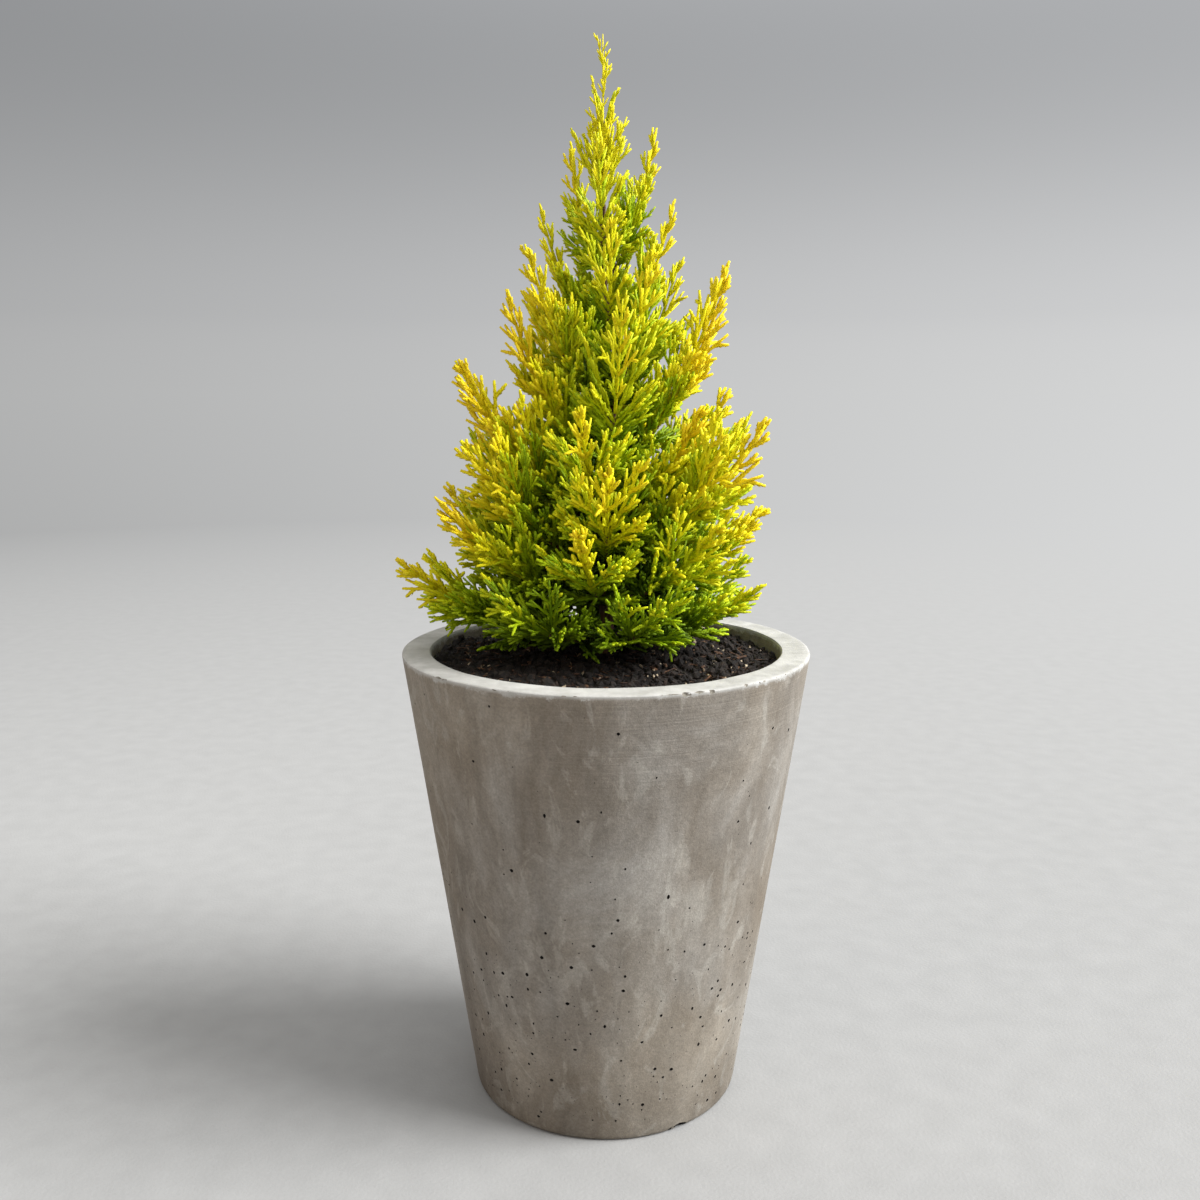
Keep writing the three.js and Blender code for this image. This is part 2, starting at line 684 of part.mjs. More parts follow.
plant.add(meshOf("pot", potGeometry(), CONCRETE));
plant.add(meshOf("soil", soilGeometry(), EARTH));
plant.add(meshOf("trunk", geometryFrom(trunk), BARK));

TIERS.forEach((tier, level) => {
  const top = level + 1 < TIERS.length ? TIERS[level + 1].from : SPIRE_TOP;
  const halfWidth = Math.PI / tier.reach.length;
  tier.reach.forEach((reach, i) => {
    const bearing = tier.first * DEGREE + i * 2 * halfWidth;
    const cell = new Cell(tier.from, top, bearing, halfWidth, reach, tier.level);
    const label = `${tier.name}_${i + 1}`;
    const seed = level * 10 + i + 1;
    const root = { inTrunk: true, length: ROOT_CLEAR, radius: stemRadius(reach) };
    if (tier.boughs) {
      const length = reach * BOUGH_SHARE;
      plant.add(meshOf(`bough_${label}`, geometryFrom(boughSolid(cell, length)), BARK));
      const beyond = GAP / Math.hypot(1, cell.slope(length));
      Object.assign(root, { inTrunk: false, length: length + beyond, radius: BOUGH_TIP_RADIUS });
    }
    const look = tier.golden ? GOLD : GREEN;
    plant.add(meshOf(`foliage_${label}`, geometryFrom(massSolid(cell, root, seed)), look));
  });
});

plant.add(meshOf("foliage_leader", geometryFrom(leaderSolid()), GREEN));

export default plant;
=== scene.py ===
# A potted lemon cypress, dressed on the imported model: a fine concrete pot, crumbly soil, bark, and foliage
# grown by the same rule as the solids and carried on to finer twigs and scale leaves.
#
# The growth rule works in millimetres, as the part's source does. Meshes are made in metres. A named pair of
# numbers is a range.
import math

import bmesh
import bpy
import numpy as np
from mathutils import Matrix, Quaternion, Vector, noise


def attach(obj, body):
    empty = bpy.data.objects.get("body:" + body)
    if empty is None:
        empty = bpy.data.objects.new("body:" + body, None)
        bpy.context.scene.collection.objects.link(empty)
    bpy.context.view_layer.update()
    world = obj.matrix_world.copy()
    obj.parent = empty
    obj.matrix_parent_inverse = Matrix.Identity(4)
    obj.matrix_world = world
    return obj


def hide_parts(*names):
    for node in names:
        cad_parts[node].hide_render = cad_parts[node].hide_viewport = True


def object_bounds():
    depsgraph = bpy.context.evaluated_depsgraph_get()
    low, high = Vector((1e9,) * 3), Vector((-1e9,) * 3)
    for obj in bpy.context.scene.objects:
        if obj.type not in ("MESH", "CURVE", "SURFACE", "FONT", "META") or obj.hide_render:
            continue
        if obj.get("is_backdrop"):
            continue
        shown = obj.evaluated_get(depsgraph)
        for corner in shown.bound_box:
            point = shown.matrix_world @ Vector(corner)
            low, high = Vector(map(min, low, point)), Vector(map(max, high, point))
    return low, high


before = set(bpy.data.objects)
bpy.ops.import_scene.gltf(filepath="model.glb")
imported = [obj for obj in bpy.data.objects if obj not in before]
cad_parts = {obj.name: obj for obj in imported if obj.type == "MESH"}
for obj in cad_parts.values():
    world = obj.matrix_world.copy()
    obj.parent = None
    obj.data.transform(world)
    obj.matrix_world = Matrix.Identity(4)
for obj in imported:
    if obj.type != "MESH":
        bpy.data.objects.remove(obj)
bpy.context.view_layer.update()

MM = 0.001
DEGREE = math.pi / 180
UP = Vector((0, 0, 1))
GAP = 0.3

# Pot
POT_HEIGHT = 400
RIM_RADIUS = 178
FOOT_RADIUS = 119
RIM_WALL = 25.5
FLOOR_WALL = 27
FLOOR_THICKNESS = 30
RIM_ARRIS = 3
FOOT_ARRIS = 5

# Pot's surface: the steps of its mesh, and how far and in what waves it is uneven
POT_SIDES = 256
POT_WALL_STEPS = 60
POT_INSIDE_STEPS = 8
POT_CORNER_STEPS = 5
POT_RIM_STEPS = 6
INNER_ARRIS = 2
POT_INSET = 0.5
POT_UNEVEN = 0.6
POT_WAVES_ROUND = 2.2
POT_WAVE_UP = 70
RIM_UNEVEN = 0.7
RIM_WAVES_ROUND = 4
RIM_WAVE_ACROSS = 30
POT_NEAR = 1

# Pinholes, most of them small, which thin out upwards
PINHOLES = 960
PINHOLE_SEED = 7
PINHOLE_LEVELS = (14, 388)
PINHOLES_THIN_OUT = (130, 240)
PINHOLES_HIGH_UP = 0.1
PINHOLE_SIZES = (0.45, 1.9)
PINHOLE_POWER = 2.6
PINHOLE_DEEPER = 1.6
PINHOLE_OVAL = (0.82, 1.18)
PINHOLE_APART = 1.5
PINHOLE_ROUGH = 0.1

# Chips: bearing, height, half-width, depth and half-height of each
CHIPS = [
    (221.5, 400, 7.0, 2.3, 2.4),
    (224.5, 399, 3.4, 1.8, 2.0),
    (243, 400, 4.2, 1.9, 1.8),
    (286, 400, 8.5, 2.4, 2.3),
    (289.5, 399, 4.6, 2.9, 3.2),
    (293, 400, 5.5, 3.2, 3.0),
    (296.5, 398, 3.0, 2.0, 2.4),
    (307, 400, 4.2, 2.4, 2.4),
    (18, 400, 6.5, 2.4, 2.4),
    (96, 399, 4.6, 2.1, 2.6),
    (151, 400, 7.5, 2.3, 2.2),
    (302, 1, 10.0, 6.5, 5.2),
    (298, 1, 5.0, 5.5, 4.0),
    (68, 1, 7.0, 5.5, 4.2),
]
CHIP_ROUGH = 0.3

# Small nicks along the rim's outer edge
NICKS = 60
NICK_SEED = 12
NICK_DROP = 1.6
NICK_WIDTHS = (0.8, 3.0)
NICK_DEPTHS = (0.7, 1.5)

# Soil
SOIL_AT_TRUNK = 393.7
SOIL_AT_WALL = 389.5
SOIL_HEAP = 2.4
SOIL_HEAP_LENGTH = (31, 37, 17)
SOIL_FLAT_RADIUS = 14

# Soil's surface. Its lumps, crumbs and grains each have a width, a height and a layer of noise.
SOIL_SIDES = 300
SOIL_RINGS = 110
SOIL_SKIRT = 12
SOIL_SKIRT_INSETS = (8, 2)
SOIL_RELIEF = ((13, 3.0, 3.1), (4.2, 3.6, 8.7), (1.7, 1.3, 1.3))
SOIL_SUNK = 0.9
SOIL_FADE = 6

# Loose pieces on the soil, clear of the trunk's line and of the wall
SOIL_SEED = 31
LOOSE_FROM_TRUNK = 11
LOOSE_FROM_WALL = 4
CRUMBS = 4200
CRUMB_SIZES = (0.7, 5.0)
CRUMB_POWER = 3
CRUMB_VARIES = (0.6, 1.3)
CRUMB_ROUGH = 0.3
CRUMBS_RAISED = 0.3
FIBRES = 520
FIBRE_LENGTHS = (3, 9)
FIBRE_WIDTHS = (0.5, 2.6)
FIBRE_POWER = 2
FIBRE_THICKNESSES = (0.3, 0.9)
FIBRE_TILT = 0.22
FIBRE_ROUGH = 0.2
FIBRES_RAISED = 1.2
PALE_CHIPS = 210
PALE_CHIP_SIZES = ((0.9, 3.0), (0.7, 1.7), (0.4, 0.9))
PALE_CHIP_ROUGH = 0.3
PALE_CHIPS_RAISED = 1.4

# Trunk and boughs
GROUND = SOIL_AT_TRUNK + GAP
TRUNK_TOP = 772
TRUNK_FOOT_RADIUS = 9.5
TRUNK_RADIUS = 6.2
TRUNK_TIP_RADIUS = 1.9
FLARE_HEIGHT = 16
FLARE_LOBES = 5
FLARE_LOBE_DEPTH = 0.16
TRUNK_SWAY = 2.5
TRUNK_SWAY_TURNS = 0.8
TRUNK_SWAY_FORWARD = 0.6
BOUGH_RADIUS = 2.6
BOUGH_TIP_RADIUS = 1.9
BOUGH_SHARE = 0.17
ROOT_INSIDE = 0.6

# Bark: the sides and steps of each kind of limb and how far its relief goes, then the waves per millimetre of
# its furrows across and along, of finer furrows and of a grain
TRUNK_SIDES = 28
TRUNK_STEPS = 220
TRUNK_STEP_POWER = 1.3
TRUNK_RELIEF = 0.5
BOUGH_SIDES = 10
BOUGH_STEPS = 16
BOUGH_RELIEF = 0.25
STEM_SIDES = 6
STEM_STEPS = 18
STEM_RELIEF = 0.12
FURROW_ACROSS = 0.9
FURROW_ALONG = 0.09
FURROW_DRIFT = 0.01
FURROW_DEPTH = 1.7
FINE_FURROW_SCALE = 2.7
FINE_FURROW_SHARE = 0.4
GRAIN_SCALE = 0.35
GRAIN_ROUND = 3
GRAIN_DEPTH = 0.35
BARK_LEVEL = 0.55

# Cones that the boughs climb along
CROWN_FOOT = 399
LOWEST_SLOPE = 0.03
SLOPE_GAIN = 0.003
CURVE_GAIN = 4e-5

# Tiers of plumes from the soil up: name, where its space starts on the trunk, how far up that space its tips
# are, bearing of its first plume, and going round, each plume's reach and how golden its tips are
TIERS = [
    ("skirt", 399, 0.66, 184, (181, 150, 146, 142, 150, 150, 150), (0.75, 0.48, 0.25, 0.55, 0.6, 0.5, 0.6)),
    ("low", 432, 0.5, 158, (158, 156, 140, 140, 142, 140, 140), (0.8, 0.85, 0.9, 0.6, 0.85, 0.7, 0.7)),
    ("middle", 464, 0.4, 30, (146, 124, 138, 138, 122, 148), (0.9, 0.7, 0.9, 0.9, 0.8, 1.0)),
    ("upper_middle", 498, 0.3, 198, (131, 108, 108, 118, 106, 106), (1.0, 0.65, 0.95, 1.0, 0.7, 0.9)),
    ("upper", 538, 0.62, 350, (104, 88, 98, 92, 90), (1.0, 0.8, 0.8, 1.0, 0.5)),
    ("high", 592, 0.48, 30, (76, 74, 78, 76), (0.65, 0.65, 0.7, 0.55)),
    ("spire", 642, 0.5, 5, (59, 54, 57, 54), (0.62, 0.62, 0.62, 0.55)),
    ("top", 696, 0.55, 20, (46, 43, 43), (0.55, 0.55, 0.55)),
]
BOUGH_TIERS = ("skirt", "low")
GOLDEN_TIERS = ("middle", "upper_middle", "upper")
FULLER_TIERS = ("high", "spire", "top")
SPIRE_TOP = 766
REACH_ROUNDING = 0.3

# Foliage rule, from a stem's root to its end
CLEAR = 1
ROOM = 3
ROOM_STEP = 3
OVERLAP = 9
STEM_LEVEL_AT_TRUNK = 0.14
STEM_RADII = (0.9, 1.9)
ROOT_CLEAR = 8
STEM_SHARE = 0.56
STEM_TAPER = 0.7
LONG_REACH = 130
FROND_PITCH = 3.4
FRONDS_LEAST = 4
FRONDS_TO = 0.97
FROND_FAN = (80, 24)
FROND_FAN_VARIES = (0.7, 1.15)
FROND_RISE = 8
FROND_LIFT = (40, 16)
FROND_ROLL = 30
END_FROND_ROLL = 45
FROND_VIGOUR = (0.8, 1)
FROND_LONGEST_SHARE = 0.5
END_FROND_LONGEST = 150
FROND_SHORTEST = 18
FROND_CURL = 0.1
BRANCHLET_PITCH = 11
BRANCHLETS_LEAST = 3
BRANCHLETS_ALONG = (0.1, 0.95)
BRANCHLET_ANGLE = 38
BRANCHLET_ANGLE_SPREAD = 10
BRANCHLET_SHARE = 0.48
BRANCHLETS_GROW = 2.4
BRANCHLETS_FALL_FROM = 1.08
BRANCHLET_FALL = 0.8
BRANCHLET_VARIES = (0.8, 1.15)
BRANCHLET_SHORTEST = 7
SHORTENED = (1, 0.8, 0.6, 0.4)

# Short fronds close to the trunk, and further sets of fronds that fill the crown
INNER_FRONDS = 7
INNER_SEED = 70
INNER_FROM = 9
INNER_BEYOND = 14
INNER_FAN = (20, 75)
INNER_LIFT = (-10, 45)
INNER_LENGTHS = (24, 60)
INNER_SHORTER = 0.6
INNER_GOLDEN = 0.2
CROSSING_SEED = 30000
FILLING_SEED = 500
FILLING_GOLDEN = (0.34, 0.74)

# Leader, from its foot to its tip
LEADER_TIP = 906
LEADER_LEAN = -3
LEADER_BELOW_TIP = 2
LEADER_ANGLES = (30, 14)
LEADER_SHOOT_LENGTHS = (60, 13)
LEADER_SHOOT_FALL = 0.7
LEADER_FINGER_SHARE = 0.12
LEADER_FRESH_AND_UNSHADED = 0.72
LEADER_GOLDEN = 0.5
LEADER_FINENESS = (0.95, 0.55)
LEADER_SEED = 99
LEADER_SPACE = 300
LEADER_REACH = 60

# Sets of its shoots: number, steps, first seed, where along the leader they stand and by which power, first
# bearing and turn in radians, roll in degrees, and shares of the usual angle and length
LEADER_SHOOTS = [
    (9, 8, 1, (0.04, 0.82), 1, 190 * DEGREE, 137.508 * DEGREE, 0, 1, 1),
    (20, 20, 40, (0, 0.5), 1.4, 1, 2.4, 60, 0.8, 0.85),
]

# Finer growth than the solids show: nubs along each branchlet, more open and longer on golden plumes
FINE_SEED = 50000
NUB_PITCH = 7.6
NUBS_ALONG = (0.16, 0.84)
NUB_ANGLE = 37
NUB_ANGLE_VARIES = (0.8, 1.2)
NUB_SHARE = 0.66
NUBS_FALL_FROM = 1.15
NUB_VARIES = (0.75, 1.2)
NUB_LENGTHS = (9, 22)
NUB_OPENNESS = 1.75
NUB_STRETCH = 1.2
NUB_THICKNESS = 0.9
FORWARD_BEND = 0.16

# Twigs, plumper on golden plumes, and finer from low to high in the crown
TWIG_RADIUS = 1.5
TWIG_TIP_RADIUS = 0.85
TWIG_PLUMP = (0.8, 1.38)
TWIG_SCALE = (1.1, 0.82)
CROWN_LEVELS = (CROWN_FOOT, 699)
FROND_THICKNESS = 1.1
TWIG_SIDES = 4
TWIG_STEP = 9
TWIG_MOST_STEPS = 8

# Scale leaves. Back, ridge and tip are shares of a leaf's length, and its seat is one of the twig's radius.
LEAF_PITCH = 2.8
LEAF_PAIRS_LEAST = 2
LEAF_LENGTH = 4.6
LEAF_WIDTH = 2.9
LEAF_THICKNESS = 0.5
LEAF_VARIES = (0.85, 1.15)
LEAF_TAPER = (1.08, 0.85)
LEAF_BACK = 0.1
LEAF_RIDGE = 0.4
LEAF_TIP = 0.9
LEAF_SEAT = 0.25
LEAF_RAISED = 0.6
SIDE_LEAF_SPREAD = 1.25
FACE_LEAF_SPREAD = 0.7
LEAVES_STOP_SHORT = 0.6
LEAVES_STOP_MOST = 0.5
LEAVES_CLOSE_FROM = 0.75
LEAVES_CLOSE_BY = 0.7

# Tints from deep green to gold, as sRGB. A spray is fresher outwards, away from the soil, high up, and on a
# golden plume, and varies a little. Its darker tints inside the crown and near the soil are partly greener
# growth and partly painted shade.
TINTS = [
    ("deep_green", (0.19, 0.29, 0.03)),
    ("dark_green", (0.33, 0.43, 0.04)),
    ("green", (0.46, 0.57, 0.04)),
    ("leaf_green", (0.56, 0.67, 0.045)),
    ("lime", (0.69, 0.77, 0.055)),
    ("yellow_lime", (0.80, 0.83, 0.065)),
    ("lemon", (0.885, 0.87, 0.075)),
    ("yellow", (0.935, 0.89, 0.09)),
    ("gold", (0.95, 0.875, 0.11)),
    ("deep_gold", (0.96, 0.855, 0.12)),
]
FRESH_AND_UNSHADED_AT_TRUNK = (0.08, 0.42)
FRESH_AND_UNSHADED_LEVELS = (520, 720)
FRESH_AND_UNSHADED_POWER = 1.2
FRESH_AND_UNSHADED_AT_SOIL = 0.6
SOIL_SHADE = (GROUND, GROUND + 90)
GOLDEN_GAIN = (0.55, 1.03)
TINT_VARIES = 0.22
TINT_LEVEL = 0.55
SPRAY_OWN_TINT = 0.25

# Sky: its colour by height, palest at the top, and its strength on the left and on the right. The floor
# takes on the colour at the horizon between two distances in metres.
SKY = [
    (0.0, (0.60, 0.605, 0.605)),
    (0.06, (0.56, 0.565, 0.57)),
    (0.32, (0.45, 0.46, 0.475)),
    (0.9, (1.30, 1.32, 1.35)),
]
SKY_SIDES = (0.52, 1.32)
FLOOR_FADES = (0.9, 5)
FLOOR_HALF = 200000

# Soft lamps: name, strength, width in degrees, where the light comes from, and colour
LAMPS = [
    ("key", 5.2, 36, (1.9, -0.35, 1.5), (1, 1, 1)),
    ("fill", 0.42, 60, (-1.6, -1.1, 0.3), (1.0, 0.60, 0.25)),
]


def mix(a, b, t):
    return a + (b - a) * t


def share_of(value, low, high):
    """Where a value is between two others, from 0 to 1."""
    return min(1.0, max(0.0, (value - low) / (high - low)))


def seeded(seed):
    """Random numbers from 0 to 1, the same for the same seed, and the same as the source's."""
    state = (seed * 2654435761) % 4294967296

    def following():
        nonlocal state
        state = (state * 1664525 + 1013904223) % 4294967296
        return state / 4294967296

    return following


# Trunk, as in the source


def trunk_point(share):
    sway = TRUNK_SWAY * math.sin(share * TRUNK_SWAY_TURNS * 2 * math.pi)
    return Vector((sway * share, -sway * TRUNK_SWAY_FORWARD * share, mix(GROUND, TRUNK_TOP, share)))


def trunk_radius(share):
    above_ground = share * (TRUNK_TOP - GROUND)
    flare = (TRUNK_FOOT_RADIUS - TRUNK_RADIUS) * math.exp(-above_ground / FLARE_HEIGHT)
    return mix(TRUNK_RADIUS, TRUNK_TIP_RADIUS, share) + flare


# Cells of the crown, as in the source


def cone_height(start, radius):
    above = start - CROWN_FOOT
    return start + LOWEST_SLOPE * radius + above * radius * (SLOPE_GAIN + CURVE_GAIN * radius)


def cone_slope(start, radius):
    return LOWEST_SLOPE + (start - CROWN_FOOT) * (SLOPE_GAIN + 2 * CURVE_GAIN * radius)


def cone_spread(radius):
    return 1 + radius * (SLOPE_GAIN + CURVE_GAIN * radius)


def cone_start(radius, z):
    return CROWN_FOOT + (z - CROWN_FOOT - LOWEST_SLOPE * radius) / cone_spread(radius)


def turn_between(a, b):
    return (a - b + math.pi) % (2 * math.pi) - math.pi


class Cell:
    def __init__(self, low, high, bearing, half_width, reach, tip_level=STEM_LEVEL_AT_TRUNK):
        self.low, self.high, self.tip_level = low, high, tip_level
        self.bearing, self.half_width, self.reach = bearing, half_width, reach
        self.sideways = Vector((-math.sin(bearing), math.cos(bearing), 0))

    def depth(self, point):
        """How far inside the cell a point is, in mm. It is negative outside."""
        radius = math.hypot(point.x, point.y)
        turn = abs(turn_between(math.atan2(point.y, point.x), self.bearing))
        start = cone_start(radius, point.z)
        spread = cone_spread(radius) / math.hypot(1, cone_slope(start, radius))
        rounding = 1 - REACH_ROUNDING * (turn / self.half_width) ** 2
        share = share_of(point.z, GROUND, TRUNK_TOP)
        return min(
            (start - self.low) * spread + (OVERLAP if self.low > CROWN_FOOT else 0),
            (self.high - start) * spread + OVERLAP,
            radius * math.sin(self.half_width - turn) + OVERLAP if self.half_width < math.pi else math.inf,
            self.reach * rounding - radius + CLEAR,
            radius - trunk_radius(share) - TRUNK_SWAY if point.z < TRUNK_TOP else math.inf,
        )

    def start_at(self, radius):
        """The cone that the stem is on, which is a higher one further out."""
        return mix(self.low, self.high, mix(STEM_LEVEL_AT_TRUNK, self.tip_level, radius / self.reach))

    def middle(self, radius):
        height = cone_height(self.start_at(radius), radius)
        return Vector((radius * math.cos(self.bearing), radius * math.sin(self.bearing), height))

    def slope(self, radius):
        climb = (self.high - self.low) * (self.tip_level - STEM_LEVEL_AT_TRUNK) / self.reach
        return cone_slope(self.start_at(radius), radius) + climb * cone_spread(radius)

    def outward(self, radius):
        return Vector((math.cos(self.bearing), math.sin(self.bearing), self.slope(radius))).normalized()

    def frond(self, radius, fan, lift, roll, length, seed):
        """A frond from the stem, turned out by a fan and up by a lift."""
        outward = self.outward(radius)
        above = outward.cross(self.sideways)
        along = outward * (math.cos(fan) * math.cos(lift)) + self.sideways * (math.sin(fan) * math.cos(lift))
        along = (along + above * math.sin(lift)).normalized()
        face = Quaternion(along, roll) @ square_to(above, along)
        return Frond(self.middle(radius), along, face, length, seed)


def square_to(direction, along):
    """The part of a direction that is square to another one."""
    return (direction - along * direction.dot(along)).normalized()


# Foliage, by the plant's rule


class Frond:
    def __init__(self, start, along, face, length, seed, branchlet_share=BRANCHLET_SHARE):
        self.start, self.along, self.face = start, along, face
        self.length, self.seed, self.branchlet_share = length, seed, branchlet_share
        self.across = face.cross(along).normalized()

    def point_at(self, share):
        curl = UP * (FROND_CURL * self.length * share * share)
        return self.start + self.along * (self.length * share) + curl

    def branchlets(self):
        """Branchlets as (start, direction, length, side)."""
        random = seeded(self.seed)
        count = max(BRANCHLETS_LEAST, round(self.length / BRANCHLET_PITCH))
        found = []
        for i in range(count):
            share = mix(*BRANCHLETS_ALONG, (i + 0.5) / count)
            side = 1 if i % 2 else -1
            angle = (BRANCHLET_ANGLE + BRANCHLET_ANGLE_SPREAD * (random() - 0.5)) * DEGREE
            growth = min(1, BRANCHLETS_GROW * share) * (BRANCHLETS_FALL_FROM - share) ** BRANCHLET_FALL
            full = self.branchlet_share * self.length * growth
            length = max(BRANCHLET_SHORTEST, full * mix(*BRANCHLET_VARIES, random()))
            along = self.along * math.cos(angle) + self.across * (side * math.sin(angle))
            along = (along + UP * (FROND_CURL * share)).normalized()
            found.append((self.point_at(share), along, length, side))
        return found

    def crossing(self):
        """A frond on the same line, in the plane square to it."""
        face = Quaternion(self.along, 90 * DEGREE) @ self.face
        return Frond(self.start, self.along, face, self.length, self.seed + CROSSING_SEED)


def room_for(cell, frond, longest):
    """How far a frond can grow before it leaves its cell."""
    length = 0
    while length + ROOM_STEP <= longest:
        ahead = length + ROOM_STEP
        if cell.depth(frond.start + frond.along * ahead + UP * (FROND_CURL * ahead)) < ROOM:
            break
        length = ahead
    return length


def mass_plan(cell, root_length, seed):
    """A mass's fronds, from its stem's root to its end. The first one is the end frond."""
    stem_length = cell.reach * STEM_SHARE - root_length
    steepness = math.hypot(1, cell.slope(root_length + stem_length / 2))
    longest = FROND_LONGEST_SHARE * cell.reach * math.sqrt(steepness) + FROND_SHORTEST
    count = max(FRONDS_LEAST, math.floor(stem_length * steepness / FROND_PITCH + 0.5))
    fronds = []
    for i in range(count + 1):
        random = seeded(seed * 100 + i)
        share = FRONDS_TO * (i - 0.5) / count if i else 1
        side = 1 if i % 2 else -1
        spread = mix(*FROND_FAN, share) if i else 0
        fan = side * spread * mix(*FROND_FAN_VARIES, random()) * DEGREE
        lift_range = mix(*FROND_LIFT, share) if i else 0
        lift = (FROND_RISE + lift_range * (2 * random() - 1)) * DEGREE
        facing = 90 * (i // 2 % 2) if i else END_FROND_ROLL
        roll = (facing + FROND_ROLL * (2 * random() - 1)) * DEGREE
        vigour = mix(*FROND_VIGOUR, random()) if i else 1
        frond = cell.frond(root_length + stem_length * share, fan, lift, roll, 0, seed * 100 + i)
        frond.length = room_for(cell, frond, longest if i else END_FROND_LONGEST) * vigour
        if frond.length >= FROND_SHORTEST:
            fronds.append(frond)
    return fronds


def inner_plan(cell, root_length, seed):
    """Short fronds close to the trunk, from the bare bough or the stem's root."""
    fronds = []
    for i in range(INNER_FRONDS):
        own_seed = seed * 100 + INNER_SEED + i
        random = seeded(own_seed)
        radius = mix(INNER_FROM, root_length + INNER_BEYOND, random())
        fan = (1 if i % 2 else -1) * mix(*INNER_FAN, random()) * DEGREE
        lift = mix(*INNER_LIFT, random()) * DEGREE
        length = mix(*INNER_LENGTHS, random()) * mix(INNER_SHORTER, 1, share_of(cell.reach, 0, LONG_REACH))
        roll = 180 * random() * DEGREE
        fronds.append(cell.frond(radius, fan, lift, roll, length, own_seed))
    return fronds


# A twig is kept as a cord, a row of numbers. Root and tip are radii, and scale leaves lie on its face. Its
# points are start + along * length * share + bend * length * share squared.
CORD = {"start": 3, "along": 3, "bend": 3, "length": 1, "face": 3, "root": 1, "tip": 1, "tint": 1}


def cord_arrays(cords):
    columns = np.split(np.array(cords, float), np.cumsum(list(CORD.values()))[:-1], axis=1)
    return {key: column if CORD[key] > 1 else column[:, 0] for key, column in zip(CORD, columns)}


def tint_of(cell, point, golden, vary):
    """The tint's number for a spray: greener inside and low down, partly painted shade, more golden towards
    the tips.
    """
    radius = math.hypot(point.x, point.y)
    share = share_of(radius, 0, cell.reach) if cell.half_width < math.pi else LEADER_FRESH_AND_UNSHADED
    # Painted shade in part: sprays inside the crown and near the soil take darker tints.
    low = share_of(point.z, *SOIL_SHADE)
    high = share_of(point.z, *FRESH_AND_UNSHADED_LEVELS)
    fresh_and_unshaded = mix(mix(*FRESH_AND_UNSHADED_AT_TRUNK, high), 1.0, share**FRESH_AND_UNSHADED_POWER) * mix(FRESH_AND_UNSHADED_AT_SOIL, 1, low)
    score = fresh_and_unshaded * mix(*GOLDEN_GAIN, golden) + TINT_VARIES * (vary - TINT_LEVEL)
    return int(min(len(TINTS) - 1, max(0, score * len(TINTS))))


def shortened(cell, start, along, length):
    """The length at which a twig's tip is still inside the cell, or nothing."""
    for share in SHORTENED:
        if cell.depth(start + along * (length * share)) > CLEAR:
            return length * share
    return 0


def add_frond(cords, cell, frond, golden, fineness=1.0):
    """Adds a frond's twig, its branchlets and their nubs to the cords."""
    random = seeded(frond.seed + FINE_SEED)
    spray = random()
    middle_tint = tint_of(cell, frond.point_at(0.5), golden, spray)
    scale = fineness * mix(*TWIG_SCALE, share_of(cell.low, *CROWN_LEVELS))
    plump = mix(*TWIG_PLUMP, golden)
    thick = TWIG_RADIUS * scale * plump
    thin = TWIG_TIP_RADIUS * scale * plump
    curl = UP * FROND_CURL
    bend = frond.along * FORWARD_BEND
    stem = thick * FROND_THICKNESS
    cords.append((*frond.start, *frond.along, *curl, frond.length, *frond.face, stem, thin, middle_tint))
    for start, along, length, side in frond.branchlets():
        length = shortened(cell, start, along, length)
        if length < BRANCHLET_SHORTEST * SHORTENED[2]:
            continue
        face = square_to(frond.face, along)
        across = face.cross(along)
        tint = tint_of(cell, start + along * length, golden, mix(spray, random(), SPRAY_OWN_TINT))
        cords.append((*start, *along, *bend, length, *face, thick, thin, tint))
        nub_bend = along * FORWARD_BEND
        pitch = NUB_PITCH * mix(1, NUB_OPENNESS, golden)
        count = round(length * (NUBS_ALONG[1] - NUBS_ALONG[0]) / pitch)
        for i in range(count):
            share = mix(*NUBS_ALONG, (i + 0.5) / count)
            nub_side = side if i % 2 else -side
            angle = NUB_ANGLE * mix(*NUB_ANGLE_VARIES, random()) * DEGREE
            full = NUB_SHARE * length * (NUBS_FALL_FROM - share) * mix(*NUB_VARIES, random())
            reach = min(NUB_LENGTHS[1], max(NUB_LENGTHS[0], full)) * mix(1, NUB_STRETCH, golden) * fineness
            root = start + along * (length * share) + bend * (length * share * share)
            heading = (along * math.cos(angle) + across * (nub_side * math.sin(angle))).normalized()
            reach = shortened(cell, root, heading, reach)
            if reach:
                cords.append((*root, *heading, *nub_bend, reach, *face, thick * NUB_THICKNESS, thin, tint))


# Meshes of leaves and twigs, from the cords' arrays


def unit(v):
    return v / np.maximum(np.linalg.norm(v, axis=1, keepdims=True), 1e-9)


def points_of(c, index, share):
    reach = c["length"][index] * share
    start, along, bend = c["start"][index], c["along"][index], c["bend"][index]
    return start + along * reach[:, None] + bend * (reach * share)[:, None]


def frames_of(c, index, share):
    """Directions along, face and across for places on cords."""
    along = unit(c["along"][index] + 2 * c["bend"][index] * share[:, None])
    face = c["face"][index]
    face = unit(face - along * (along * face).sum(1)[:, None])
    return along, face, np.cross(along, face)


def copies(points, corners):
    """Points and triangles of a shape's copies, from the points of each and the shape's corners."""
    faces = np.array(corners)[None] + points.shape[1] * np.arange(len(points))[:, None, None]
    return points.reshape(-1, 3), faces.reshape(-1, 3)


